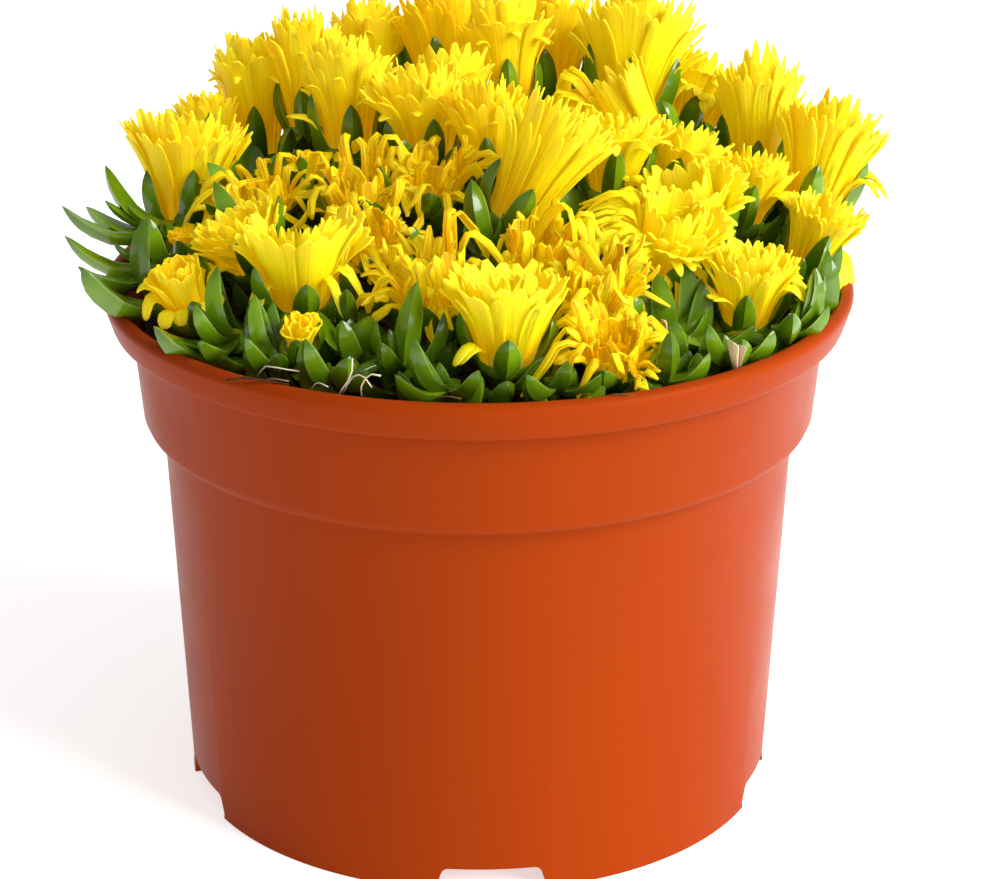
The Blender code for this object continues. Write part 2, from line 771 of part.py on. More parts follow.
def grow_flowering_branch(layout, bloom):
    """A branch that ends in an open cup with a flat floor for the bloom."""
    cup_top = bloom.foot + bloom.axis * CUP_HEIGHT
    path = branch_path(bloom.stem, bloom.foot, bloom.axis) + [cup_top]
    cup_radius = CUP_RADIUS * bloom.scale
    radii = [BRANCH_RADIUS] * (len(path) - 1) + [cup_radius]
    rings = tube_rings(path, radii, BRANCH_SIDES)
    inner = cup_radius - CUP_WALL * bloom.scale
    rings.append([cup_top + (p - cup_top) * (inner / cup_radius) for p in rings[-1]])
    solid = skin(rings)
    node = stem_name(bloom.stem)
    layout.add(node, solid)
    work, faces = working_mesh(solid)
    band = faces[1 + (len(path) - 3) * BRANCH_SIDES:][:BRANCH_SIDES]
    rim = faces[-1 - BRANCH_SIDES:-1]
    return node, work, band, rim


def grow_lobes(layout, bloom, node, work, rim):
    """The lobes of a cup, left out where another head crowds them."""
    chosen = rim if bloom.radius > 6.8 else rim[::2]
    for face in chosen:
        trials = [bloom.lobe(face, spread) for spread in (0.2, 1.0, 2.0, 3.2)]
        grow_first_clear(layout, node, work, face, trials)


def grow_pair(layout, bloom, node, work, band, draw):
    """Two leaves that face each other under a cup."""
    first = draw.randrange(BRANCH_SIDES)
    length = draw.uniform(11, 14)
    for face in (band[first], band[(first + 2) % BRANCH_SIDES]):
        out = bloom.out(bloom.turn_of(face.calc_center_median()))
        tip = face.calc_center_median() + out * (0.62 * length) + bloom.axis * (0.78 * length)
        grow_leaf(layout, node, work, face, tip, LEAF_WIDTH, slim=True)


def grow_shoot(layout, foot, tips, draw, slim=False):
    """A leafy shoot: every tip's leaf grows from the side that faces it, or from the top."""
    stem = nearest_stem(foot)
    node = stem_name(stem)
    layout.look_from(node)
    path = branch_path(stem, foot + Vector((0, 0, 2.0)), Vector((0, 0, 1)))
    rings = tube_rings(path, [BRANCH_RADIUS] * len(path), BRANCH_SIDES)
    solid = skin(rings)
    layout.add(node, solid)
    work, faces = working_mesh(solid)
    free = faces[-1 - BRANCH_SIDES:]
    for tip in sorted(tips, key=lambda tip: math.hypot(tip.x - foot.x, tip.y - foot.y)):
        aim = (tip - foot).normalized()
        face = max(free, key=lambda f: f.normal.dot(aim))
        free.remove(face)
        grow_leaf(layout, node, work, face, tip, LEAF_WIDTH * draw.uniform(0.85, 1.08), slim)
    return node, work


def rear_shoots():
    """Leafy shoots round the back of the rim."""
    draw = random.Random(23)
    shoots = []
    for bearing in REAR_BEARINGS:
        out = Vector((math.cos(math.radians(bearing)), math.sin(math.radians(bearing)), 0))
        side = Vector((-out.y, out.x, 0))
        foot = out * REAR_REACH + Vector((0, 0, REAR_HEIGHT))
        tips = []
        for sideways in (-6.5, 0, 6.5):
            tip = out * draw.uniform(55, 58) + side * (sideways + draw.uniform(-1, 1))
            tips.append(tip + Vector((0, 0, REAR_HEIGHT + draw.uniform(7, 11))))
        shoots.append((foot, tips))
    return shoots


def middle_shoots():
    """Leafy shoots between the blooms."""
    draw = random.Random(31)
    shoots = []
    for x, y in MIDDLE_SHOOTS:
        foot = Vector((x, y, MIDDLE_HEIGHT))
        first = draw.uniform(0, math.pi / 2)
        tips = []
        for quarter in range(4):
            turn = first + quarter * math.pi / 2
            reach = draw.uniform(5, 7.5)
            rise = draw.uniform(8, 12)
            tips.append(foot + Vector((reach * math.cos(turn), reach * math.sin(turn), rise)))
        shoots.append((foot, tips))
    return shoots


def object_from(name, work, surface):
    """An object in metres from a working mesh in millimetres."""
    bmesh.ops.triangulate(work, faces=work.faces)
    bmesh.ops.scale(work, vec=(MM, MM, MM), verts=work.verts)
    mesh = bpy.data.meshes.new(name)
    work.to_mesh(mesh)
    work.free()
    mesh.materials.append(surface)
    mesh.shade_smooth()
    mesh.set_sharp_from_angle(angle=math.radians(LEAF_CREASE_DEGREES))
    made = bpy.data.objects.new(name, mesh)
    bpy.context.scene.collection.objects.link(made)
    return made


def stem_object(stem, branches, surface):
    """A stem in its hole, and all branches that grow from it, joined in one body."""
    top = crown(stem)
    foot = Vector((top.x, top.y, soil_height(math.hypot(top.x, top.y)) - STEM_DEPTH))
    rings = tube_rings([foot, top], [STEM_RADIUS, STEM_RADIUS], STEM_SIDES)
    work, _ = working_mesh(skin(rings))
    body = object_from(stem_name(stem), work, surface)
    apply_boolean(body, [object_from("branch", branch, surface) for branch in branches], "UNION")
    keep_one_body(body)
    body.data.shade_smooth()
    body.data.set_sharp_from_angle(angle=math.radians(LEAF_CREASE_DEGREES))


def main():
    for old in list(bpy.data.objects):
        bpy.data.objects.remove(old)
    terracotta = material("terracotta_plastic", (0.50, 0.095, 0.018), 0.34)
    earth = material("potting_soil", (0.030, 0.018, 0.010), 0.95, 0.2)
    green = material("leaf_green", (0.060, 0.170, 0.018), 0.32)
    yellow = material("petal_yellow", (0.900, 0.620, 0.010), 0.55, 0.3)

    layout = Layout()
    layout.add_object("pot", pot_object(terracotta))
    layout.add_object("soil", soil_object(earth))
    blooms = [Bloom(*row) for row in BLOOMS]
    green_work = {stem_name(stem): [] for stem in range(len(STEMS))}
    branches = [grow_flowering_branch(layout, bloom) for bloom in blooms]
    funnels = [grow_funnel(layout, bloom, number) for number, bloom in enumerate(blooms)]

    draw = random.Random(11)
    for foot, tips in SHOOTS:
        node, work = grow_shoot(layout, Vector(foot), [Vector(tip) for tip in tips], draw)
        green_work[node].append(work)
    for foot, tips in rear_shoots():
        node, work = grow_shoot(layout, foot, tips, draw, slim=True)
        green_work[node].append(work)
    for bloom, (node, work, band, rim) in zip(blooms, branches):
        layout.look_from(node)
        grow_lobes(layout, bloom, node, work, rim)
        green_work[node].append(work)
    for number, (bloom, (work, faces)) in enumerate(zip(blooms, funnels)):
        layout.look_from(bloom.name)
        grow_petals(layout, bloom, work, faces, random.Random(100 + number))
    for foot, tips in middle_shoots():
        node, work = grow_shoot(layout, foot, tips, draw, slim=True)
        green_work[node].append(work)
    for bloom, (node, work, band, rim) in zip(blooms, branches):
        layout.look_from(node)
        grow_pair(layout, bloom, node, work, band, draw)

    for stem in range(len(STEMS)):
        stem_object(stem, green_work[stem_name(stem)], green)
    for bloom, (work, faces) in zip(blooms, funnels):
        object_from(bloom.name, work, yellow)


main()
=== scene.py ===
"""A flowering ice plant in a nursery pot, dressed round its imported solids.

Sizes are in millimetres and become metres where a mesh is made. +Z is up, the origin is the
middle of the circle that the pot stands on, and the front of the plant faces -Y.
"""

import math
import random

import bpy
import numpy as np
from mathutils import Matrix, Vector


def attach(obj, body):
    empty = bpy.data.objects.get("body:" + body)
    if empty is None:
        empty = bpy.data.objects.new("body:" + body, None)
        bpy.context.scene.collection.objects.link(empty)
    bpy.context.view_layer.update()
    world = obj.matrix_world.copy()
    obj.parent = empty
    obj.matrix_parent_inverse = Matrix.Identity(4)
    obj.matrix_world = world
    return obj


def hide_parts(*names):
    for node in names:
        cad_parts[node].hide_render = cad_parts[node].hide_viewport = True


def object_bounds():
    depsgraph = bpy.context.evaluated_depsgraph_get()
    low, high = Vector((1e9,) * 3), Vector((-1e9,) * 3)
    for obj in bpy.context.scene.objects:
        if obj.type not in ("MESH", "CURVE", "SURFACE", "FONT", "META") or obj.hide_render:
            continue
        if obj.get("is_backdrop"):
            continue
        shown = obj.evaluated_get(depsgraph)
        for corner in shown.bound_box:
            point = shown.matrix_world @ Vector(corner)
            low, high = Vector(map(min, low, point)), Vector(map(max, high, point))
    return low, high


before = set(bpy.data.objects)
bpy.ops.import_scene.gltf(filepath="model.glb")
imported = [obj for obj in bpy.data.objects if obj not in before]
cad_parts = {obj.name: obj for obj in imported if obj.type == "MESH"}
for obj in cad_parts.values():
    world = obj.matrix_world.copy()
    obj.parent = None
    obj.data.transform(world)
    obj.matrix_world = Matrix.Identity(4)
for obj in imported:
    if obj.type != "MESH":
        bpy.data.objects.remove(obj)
cad_low, cad_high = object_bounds()

# The pot: one thin shell of terracotta-coloured plastic, moulded in one shot, with a rolled
# lip and a wide collar for stacking. It stands on a foot ring that five notches open, and
# round holes in its raised floor let water out.
MM = 0.001
POT_HEIGHT = 85.6
LIP_RADIUS = 60.0
LIP_HEIGHT = 5.8
COLLAR_TOP_RADIUS = 55.6
COLLAR_LOW_RADIUS = 54.2
COLLAR_LOW_Z = 62.8
BODY_TOP_RADIUS = 51.0
BASE_RADIUS = 48.0
FOOT_HEIGHT = 4.0
WALL = 1.2
POT_SIDES = 144
POT_EDGE_ROUND = 0.28
POT_ROUNDED_ANGLE = 28
POT_SMOOTH_ANGLE = 32
NOTCHES = 5
NOTCH_SIZE = (9.0, 20.0, 4.0)
NOTCH_TOP_SHARE = 0.76
NOTCH_ROUND = 0.9
FRONT_NOTCH_BEARING = -87.5
DRAIN_RADIUS = 3.5
DRAIN_REACH = 34.0
POT_COLOUR = (0.286, 0.034, 0.0022, 1.0)
POT_COLOUR_DEEP = (0.258, 0.0285, 0.0018, 1.0)
POT_SHEEN_TINT = (1.0, 0.55, 0.35, 1.0)


def start_clean():
    """Nothing is selected, so that an operator acts on a new piece alone."""
    if bpy.context.object and bpy.context.object.mode != "OBJECT":
        bpy.ops.object.mode_set(mode="OBJECT")
    bpy.ops.object.select_all(action="DESELECT")


def raised(name, profile, sides):
    """A closed body raised ring by ring from a filled circle, along a profile of (radius, z)."""
    start_clean()
    radius, height = profile[0]
    bpy.ops.mesh.primitive_circle_add(
        vertices=sides, radius=radius * MM, location=(0, 0, 0), fill_type="NGON"
    )
    body = bpy.context.object
    body.name = name
    bpy.ops.object.mode_set(mode="EDIT")
    bpy.ops.mesh.select_all(action="SELECT")
    bpy.ops.transform.translate(value=(0, 0, height * MM))
    for next_radius, next_height in profile[1:]:
        bpy.ops.mesh.extrude_region_move()
        share = next_radius / radius
        bpy.ops.transform.resize(value=(share, share, 1), center_override=(0, 0, height * MM))
        bpy.ops.transform.translate(value=(0, 0, (next_height - height) * MM))
        radius, height = next_radius, next_height
    bpy.ops.mesh.select_all(action="SELECT")
    bpy.ops.mesh.normals_make_consistent(inside=False)
    bpy.ops.object.mode_set(mode="OBJECT")
    return body


def apply_modifier(piece, kind, **settings):
    """Add a modifier, set it and apply it."""
    change = piece.modifiers.new(kind.lower(), kind)
    for key, value in settings.items():
        setattr(change, key, value)
    bpy.context.view_layer.objects.active = piece
    bpy.ops.object.modifier_apply(modifier=change.name)


def notch_tool(bearing):
    """A block with rounded shoulders that opens the foot ring."""
    start_clean()
    depth, width, height = NOTCH_SIZE
    bpy.ops.mesh.primitive_cube_add(size=1)
    tool = bpy.context.object
    bpy.ops.object.mode_set(mode="EDIT")
    bpy.ops.transform.resize(value=(depth * MM, width * MM, 2 * height * MM))
    bpy.ops.mesh.select_all(action="DESELECT")
    bpy.ops.object.mode_set(mode="OBJECT")
    for corner in tool.data.vertices:
        corner.select = corner.co.z > 0
    bpy.ops.object.mode_set(mode="EDIT")
    bpy.ops.mesh.select_mode(type="VERT")
    bpy.ops.transform.resize(value=(1, NOTCH_TOP_SHARE, 1))
    bpy.ops.object.mode_set(mode="OBJECT")
    apply_modifier(tool, "BEVEL", width=NOTCH_ROUND * MM, segments=4, limit_method="ANGLE")
    tool.data.transform(Matrix.Translation((BASE_RADIUS * MM, 0, -0.1 * MM)))
    tool.data.transform(Matrix.Rotation(bearing, 4, "Z"))
    return tool


def drain_tool(bearing):
    """A round pin that opens the floor."""
    start_clean()
    bpy.ops.mesh.primitive_cylinder_add(vertices=32, radius=DRAIN_RADIUS * MM, depth=6 * WALL * MM)
    tool = bpy.context.object
    tool.data.transform(Matrix.Translation((DRAIN_REACH * MM, 0, (FOOT_HEIGHT + WALL / 2) * MM)))
    tool.data.transform(Matrix.Rotation(bearing, 4, "Z"))
    return tool


def cut_away(piece, tool):
    """Cut a tool out of a piece and remove the tool."""
    apply_modifier(piece, "BOOLEAN", operation="DIFFERENCE", object=tool, solver="EXACT")
    bpy.data.objects.remove(tool)


class Finish:
    """A material in the making. A socket is joined to another one or set to plain numbers."""

    def __init__(self, name):
        self.material = bpy.data.materials.new(name)
        self.material.use_nodes = True
        self.tree = self.material.node_tree

    def feed(self, node, sockets):
        """Feed a node's sockets, which are given by name or number."""
        for key, value in sockets.items():
            if isinstance(value, bpy.types.NodeSocket):
                self.tree.links.new(value, node.inputs[key])
            else:
                node.inputs[key].default_value = value
        return node

    def node(self, kind, **sockets):
        """A new node with its sockets fed."""
        return self.feed(self.tree.nodes.new("ShaderNode" + kind), sockets)

    def place(self):
        """The piece's own coordinates."""
        return self.node("TexCoord").outputs["Object"]

    def grain(self):
        """A leaf's or petal's own vector, and its parts: across, along and tone."""
        grain = self.node("Attribute")
        grain.attribute_name = "grain"
        vector = grain.outputs["Vector"]
        return (vector, *self.node("SeparateXYZ", Vector=vector).outputs)

    def unsigned(self, value):
        """A value without its sign."""
        made = self.feed(self.node("Math"), {0: value})
        made.operation = "ABSOLUTE"
        return made.outputs[0]

    def stretched(self, vector, scale):
        """A vector scaled along its axes, so that a pattern on it is drawn out."""
        return self.node("Mapping", Vector=vector, Scale=scale).outputs["Vector"]

    def noise(self, vector, scale, detail=4.0, roughness=0.5):
        """The level of a noise pattern on a vector."""
        made = self.node("TexNoise", Vector=vector, Scale=scale, Detail=detail, Roughness=roughness)
        return made.outputs["Fac"]

    def ramp(self, value, stops):
        """A colour chosen by a value, between stops."""
        made = self.node("ValToRGB", Fac=value)
        elements = made.color_ramp.elements
        while len(elements) < len(stops):
            elements.new(0.5)
        for element, (place, colour) in zip(elements, stops):
            element.position = place
            element.color = colour
        return made.outputs["Color"]

    def mixed(self, factor, first, second, blend="MIX"):
        """Two colours mixed by a factor."""
        made = self.node("Mix")
        made.data_type = "RGBA"
        made.blend_type = blend
        return self.feed(made, {0: factor, 6: first, 7: second}).outputs[2]

    def scaled(self, value, low, high, to_low, to_high):
        """A value carried from one range to another, and held inside it."""
        bounds = {"From Min": low, "From Max": high, "To Min": to_low, "To Max": to_high}
        return self.feed(self.node("MapRange", Value=value), bounds).outputs["Result"]

    def bumped(self, height, strength, distance):
        """A bump from a height."""
        return self.node("Bump", Height=height, Strength=strength, Distance=distance).outputs["Normal"]

    def done(self, sockets):
        """The material, once its shader's own sockets are fed."""
        self.feed(self.tree.nodes["Principled BSDF"], sockets)
        return self.material


def pot_finish():
    """Satin-gloss plastic with faint flow marks and finger marks."""
    finish = Finish("terracotta_plastic")
    place = finish.place()
    flow = finish.noise(finish.stretched(place, (26, 26, 5)), 2.0, 3.0)
    smears = finish.noise(place, 60.0, 5.0)
    pebble = finish.noise(place, 2600.0, 2.0)
    return finish.done({
        "Base Color": finish.mixed(flow, POT_COLOUR_DEEP, POT_COLOUR),
        "Roughness": finish.scaled(smears, 0.3, 0.7, 0.3, 0.42),
        "Normal": finish.bumped(pebble, 0.1, 0.00004),
        "IOR": 1.13,
        "Specular Tint": POT_SHEEN_TINT,
    })


def smooth_by_angle(piece, degrees):
    """Smooth shading, with sharp edges where faces meet at more than an angle."""
    start_clean()
    piece.select_set(True)
    bpy.context.view_layer.objects.active = piece
    bpy.ops.object.shade_smooth_by_angle(angle=math.radians(degrees))


lip_low = POT_HEIGHT - LIP_HEIGHT
pot_shell = raised("pot_shell", [
    (BASE_RADIUS - WALL - 0.4, FOOT_HEIGHT),
    (BASE_RADIUS - WALL - 0.4, 0),
    (BASE_RADIUS + 0.3, 0),
    (BASE_RADIUS + 0.1, 0.9),
    (BODY_TOP_RADIUS, COLLAR_LOW_Z - 1.4),
    (BODY_TOP_RADIUS + 0.4, COLLAR_LOW_Z - 0.4),
    (COLLAR_LOW_RADIUS - 0.6, COLLAR_LOW_Z + 0.2),
    (COLLAR_LOW_RADIUS, COLLAR_LOW_Z + 1.6),
    (COLLAR_TOP_RADIUS, lip_low - 0.2),
    (LIP_RADIUS - 1.5, lip_low),
    (LIP_RADIUS - 1.2, lip_low + 0.7),
    (LIP_RADIUS, POT_HEIGHT - 1.3),
    (LIP_RADIUS - 0.3, POT_HEIGHT - 0.5),
    (LIP_RADIUS - 1.0, POT_HEIGHT - 0.05),
    (LIP_RADIUS - 1.9, POT_HEIGHT),
    (LIP_RADIUS - 2.5, POT_HEIGHT - 0.7),
    (LIP_RADIUS - 3.2, lip_low + 1.0),
    (COLLAR_TOP_RADIUS - WALL, lip_low - 0.6),
    (COLLAR_LOW_RADIUS - WALL - 0.2, COLLAR_LOW_Z + 1.4),
    (BODY_TOP_RADIUS - WALL, COLLAR_LOW_Z - 1.6),
    (BASE_RADIUS - 1.6, FOOT_HEIGHT + WALL),
], POT_SIDES)
apply_modifier(
    pot_shell, "BEVEL", width=POT_EDGE_ROUND * MM, segments=2,
    limit_method="ANGLE", angle_limit=math.radians(POT_ROUNDED_ANGLE),
)
for number in range(NOTCHES):
    bearing = math.radians(FRONT_NOTCH_BEARING + 360 / NOTCHES * number)
    cut_away(pot_shell, notch_tool(bearing))
    cut_away(pot_shell, drain_tool(bearing))
smooth_by_angle(pot_shell, POT_SMOOTH_ANGLE)
pot_shell.data.materials.append(pot_finish())
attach(pot_shell, "root")
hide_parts("pot")

# The soil: dark peat, filled by hand to just under the lip and pressed round the stems. Its
# body is the solid itself, and loose crumbs and short fibres of bark lie on it.
SOIL_EDGE_Z = 79.0
SOIL_RISE = 3.0
CRUMBS = 2600
CRUMB_SIZES = (0.35, 1.35)
CRUMB_REACH = 52.0
CRUMB_SEED = 5
PEAT = (0.022, 0.012, 0.007, 1.0)
PEAT_LIGHT = (0.095, 0.052, 0.028, 1.0)


def soil_height(reach):
    """The soil's surface at a distance from the pot's axis."""
    return SOIL_EDGE_Z + SOIL_RISE * (1 - (reach / COLLAR_TOP_RADIUS) ** 2)


def soil_finish(name):
    """Damp peat: near black, with paler crumbs."""
    finish = Finish(name)
    place = finish.place()
    grain = finish.noise(place, 420.0, 6.0, 0.65)
    lumps = finish.noise(place, 900.0, 5.0, 0.7)
    return finish.done({
        "Base Color": finish.ramp(grain, [(0.38, PEAT), (0.72, PEAT_LIGHT)]),
        "Normal": finish.bumped(lumps, 0.8, 0.0006),
        "Roughness": 0.9,
        "Specular IOR Level": 0.25,
    })


def model_arrays(model):
    """The points and faces of a modelled shape, in millimetres. The shape itself is removed."""
    points = np.array([corner.co for corner in model.data.vertices]) / MM
    faces = [tuple(face.vertices) for face in model.data.polygons]
    bpy.data.objects.remove(model)
    return points, faces


def new_object(name, data):
    """An object that holds a mesh, a lamp or a camera, placed in the scene."""
    made = bpy.data.objects.new(name, data)
    bpy.context.scene.collection.objects.link(made)
    return made


def piece_from(name, copies, finish):
    """One piece from laid copies of models: a list of ((points, faces), grain), in millimetres."""
    points = np.concatenate([laid for (laid, _), _ in copies]) * MM
    faces = []
    start = 0
    for (laid, model_faces), _ in copies:
        faces += [tuple(start + corner for corner in face) for face in model_faces]
        start += len(laid)
    mesh = bpy.data.meshes.new(name)
    mesh.from_pydata(points.tolist(), [], faces)
    if copies[0][1] is not None:
        grains = np.concatenate([grain for _, grain in copies]).astype(np.float32)
        mesh.attributes.new("grain", "FLOAT_VECTOR", "POINT").data.foreach_set("vector", grains.ravel())
    mesh.materials.append(finish)
    mesh.shade_smooth()
    piece = new_object(name, mesh)
    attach(piece, "root")
    return piece


start_clean()
bpy.ops.mesh.primitive_ico_sphere_add(subdivisions=1, radius=MM)
crumb_points, crumb_faces = model_arrays(bpy.context.object)
draw = random.Random(CRUMB_SEED)
crumbs = []
for _ in range(CRUMBS):
    reach = CRUMB_REACH * math.sqrt(draw.random())
    turn = draw.uniform(0, 2 * math.pi)
    size = draw.uniform(*CRUMB_SIZES) ** 1.5
    half_turn = draw.uniform(0, math.pi)
    spin = Matrix.Rotation(half_turn, 3, Vector((draw.random(), draw.random(), 1)).normalized())
    stretch = np.array([draw.uniform(0.7, 1.5), draw.uniform(0.6, 1.0), draw.uniform(0.5, 0.9)]) * size
    place = (reach * math.cos(turn), reach * math.sin(turn), soil_height(reach) + 0.25 * size)
    crumbs.append((((crumb_points * stretch) @ np.array(spin).T + place, crumb_faces), None))
soil_crumbs = piece_from("soil_crumbs", crumbs, soil_finish("peat_crumbs"))
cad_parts["soil"].data.materials.clear()
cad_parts["soil"].data.materials.append(soil_finish("peat"))

# Stems: short woody stems stand in holes in the soil, and green branches rise from them. Each
# branch ends in a plump cup that holds a bloom, or in a shoot of leaves.
RIGHT, BACK, UP = Vector((1, 0, 0)), Vector((0, 1, 0)), Vector((0, 0, 1))
STEMS = [
    (-42, 11), (-34, 33), (-21, 18), (-8, 41), (-3, 17),
    (18, 42), (29, 18), (45, 15), (43, -3), (22, -7),
    (37, -24), (13, -33), (-5, -13), (-9, -36), (-34, -21),
]
STEM_RADIUS = 1.8
STEM_DEPTH = 8.0
STEM_TONE = 0.9
BRANCH_RADIUS = 1.25
BRANCH_BAND = 2.6
BRANCH_TONE = 0.35
CROWN_RISE = 2.2


def across(direction):
    """Two unit vectors at right angles to a direction, the first one level."""
    side = UP.cross(direction)
    if side.length < 0.05:
        side = RIGHT
    side = side.normalized()
    return side, direction.cross(side).normalized()


def outward(turn, right=RIGHT, back=BACK):
    """The direction at a bearing: 0 is to the right and a quarter turn is to the back."""
    return right * math.cos(turn) + back * math.sin(turn)


def nearest_stem(place):
    """The stem that carries a bloom or a shoot."""
    return min(range(len(STEMS)), key=lambda stem: math.dist(place[:2], STEMS[stem]))


def crown(stem):
    """The top of a stem, just above the soil."""
    x, y = STEMS[stem]
    return Vector((x, y, soil_height(math.hypot(x, y)) + CROWN_RISE))


def branch_line(stem, end, arriving):
    """The controls of a branch from its stem to its end."""
    start = crown(stem) - UP
    span = (end - start).length
    rise = start + UP * (0.45 * span) + (end - start) * 0.12
    band = end - arriving * BRANCH_BAND
    controls = []
    for t in (0, 0.33, 0.66, 1):
        s = 1 - t
        pull = band - arriving * (0.3 * span)
        pull.z = max(pull.z, soil_height(math.hypot(pull.x, pull.y)) + 2.0)
        controls.append(start * s**3 + rise * (3 * s * s * t) + pull * (3 * s * t * t) + band * t**3)
    return controls + [end]


def smooth_line(controls, places):
    """Points and directions on a smooth line through its controls, at places from 0 to 1."""
    knots = np.array([list(p) for p in controls], float)
    ends = np.vstack([2 * knots[0] - knots[1], knots, 2 * knots[-1] - knots[-2]])
    spot = np.clip(np.asarray(places, float), 0, 1) * (len(knots) - 1)
    first = np.minimum(spot.astype(int), len(knots) - 2)
    t = (spot - first)[:, None]
    a, b, c, d = (ends[first + k] for k in range(4))
    bend, swing = 2 * a - 5 * b + 4 * c - d, 3 * b - a - 3 * c + d
    points = 0.5 * (2 * b + (c - a) * t + bend * t**2 + swing * t**3)
    ways = 0.5 * ((c - a) + 2 * bend * t + 3 * swing * t**2)
    return points, ways / np.maximum(np.linalg.norm(ways, axis=1), 1e-6)[:, None]


def bent_copy(model, controls, side, width, depth, tone, twist=0.0):
    """A copy of a model laid along a line: its X goes across, its Y to the back, its Z along."""
    points, faces = model
    levels, level = np.unique(np.round(points[:, 2], 4), return_inverse=True)
    level = level.reshape(-1)
    centres, ways = smooth_line(controls, levels / levels[-1])
    sides = []
    here = np.array(list(side), float)
    for way in ways:
        here = here - way * here.dot(way)
        here = here / np.linalg.norm(here)
        sides.append(here)
    sides = np.array(sides)
    backs = np.cross(sides, ways)
    angle = (twist * levels / levels[-1])[:, None]
    turned_sides = sides * np.cos(angle) + backs * np.sin(angle)
    backs = np.cross(turned_sides, ways)
    laid = centres[level]
    laid = laid - turned_sides[level] * (points[:, :1] * width)
    laid = laid + backs[level] * (points[:, 1:2] * depth)
    half = np.array([np.abs(points[level == k, 0]).max() for k in range(len(levels))])
    along = points[:, 2] / levels[-1]
    grain = np.column_stack([points[:, 0] / half[level], along, np.full(len(points), tone)])
    return (laid, faces), grain


branch_model = model_arrays(raised("branch_model", [
    (1.15, 0.0), (1.0, 0.15), (0.95, 0.35), (0.95, 0.55), (1.0, 0.75), (1.15, 0.9), (1.2, 1.0),
], sides=8))

# Leaves: fleshy, three-angled, full of water. The upper side is nearly flat and the back has
# a keel. They sit in pairs on their branch, waxy and dark, with a painted highlight along the ridges.
LEAF_WIDTH = 3.9
LEAF_DEPTH_SHARE = 0.36
LEAF_BOW = 0.17
LEAF_ANGLED = 0.8
RIDGE_ANGLE = 55
TALL_LEAF_Z = 93
FULL_SHOOT_Y = -20
SHADE_SEED = 77
SHOOT_SEED = 11
REAR_SEED = 23
MIDDLE_SEED = 31
# The shoots that show in the photograph: the foot of each and the tips of its leaves.
SHOOTS = [
    ((-50, 3, 91), [(-60, 8, 101), (-66, -1, 97), (-63, 5, 95)]),
    ((-49, -6, 88), [(-65, -7, 94), (-62, -16, 92), (-51, -11, 98)]),
    ((-37, -32, 85), [(-48, -36, 89), (-42, -37, 93), (-39, -31, 97), (-41, -42, 89)]),
    ((-30, -38, 84), [(-33, -38, 95), (-34, -46, 91), (-29, -47, 89)]),
    ((-21, -43, 83), [(-25, -49, 92), (-19, -49, 89), (-16, -49, 87)]),
    ((-18, -37, 84), [(-20, -41, 92), (-16, -36, 91), (-24, -34, 91)]),
    ((-11, -41, 84), [(-9, -41, 98), (-5, -43, 94), (-15, -41, 92), (-14, -48, 91)]),
    ((-4, -48, 83), [(-9, -52, 93), (0, -54, 89), (-12, -53, 88)]),
    ((11, -47, 83), [(13, -50, 89), (7, -53, 88), (18, -50, 87)]),
    ((31, -30, 84), [(34, -25, 93), (41, -33, 88), (23, -35, 90)]),
    ((27, -42, 82), [(28, -46, 92), (22, -49, 87), (34, -44, 88)]),
    ((38, -35, 83), [(34, -40, 91), (39, -41, 89), (44, -37, 89)]),
    ((46, -27, 84), [(51, -26, 95), (47, -35, 91), (53, -29, 90)]),
    ((50, -13, 85), [(54, -17, 95), (56, -10, 92), (53, -21, 91)]),
    ((1, -16, 94), [(-1, -16, 106), (6, -20, 100)]),
]
# Shoots at the back and in the middle, which it hides or shows in part.
REAR_BEARINGS = [-8, 14, 34, 52, 70, 88, 106, 124, 142, 160]
REAR_REACH = 49.5
REAR_HEIGHT = 84.0
REAR_LEAF_GAP = 6.5
MIDDLE_SHOOTS = [
    (-37, 21), (-29, -9), (-14, 6), (-13, 30), (5, 15), (10, 30), (14, -6), (37, 21),
    (21, -21), (34, -13), (-20, -28), (-24, -14), (3, -25), (-28, 22),
]
MIDDLE_HEIGHT = 86.0
MIDDLE_BACK_Y = 10
MIDDLE_BACK_RISE = 6
SKIN_GLOW_DEPTH = 0.8
GREEN_ROOT = (0.33, 0.43, 0.02, 1.0)
GREEN_BELLY = (0.142, 0.27, 0.004, 1.0)
GREEN_TIP = (0.068, 0.15, 0.006, 1.0)
GREEN_DEEP = (0.055, 0.118, 0.002, 1.0)
# A painted highlight: the pale colour along the leaf ridges stands in for light glancing off them.
GREEN_RIDGE_HIGHLIGHT = (0.29, 0.43, 0.08, 1.0)


def leaf_shape():
    """A spindle pressed to three soft angles: two edges in front and a keel behind."""
    points, faces = model_arrays(raised("leaf_model", [
        (0.66, 0.0), (0.88, 0.1), (0.98, 0.25), (1.0, 0.42), (0.95, 0.58),
        (0.82, 0.72), (0.6, 0.84), (0.34, 0.93), (0.13, 0.98), (0.03, 1.0),
    ], sides=12))
    turn = np.arctan2(points[:, 1], points[:, 0])
    reach = np.hypot(points[:, 0], points[:, 1])
    face_turn = np.mod(turn - math.pi / 2, 2 * math.pi / 3) - math.pi / 3
    reach = reach * (1 - LEAF_ANGLED + LEAF_ANGLED * 0.5 / np.cos(face_turn))
    points[:, 0] = np.cos(turn) * reach * 1.155
    points[:, 1] = np.sin(turn) * reach
    return points, faces


def leaf_line(root, tip, bow=LEAF_BOW):
    """The line and the keel's direction of a leaf that bows down and out."""
    line = tip - root
    out = Vector((line.x, line.y, 0))
    if out.length < 0.35 * line.length:
        out = Vector((root.x, root.y, 0))
    down = out.normalized() - UP * 0.9
    down = (down - line * down.dot(line) / line.length_squared).normalized()
    belly = root + line * 0.36 + down * (bow * line.length)
    high = root + line * 0.72 + down * (0.78 * bow * line.length)
    return [root, belly, high, tip], line.cross(down)


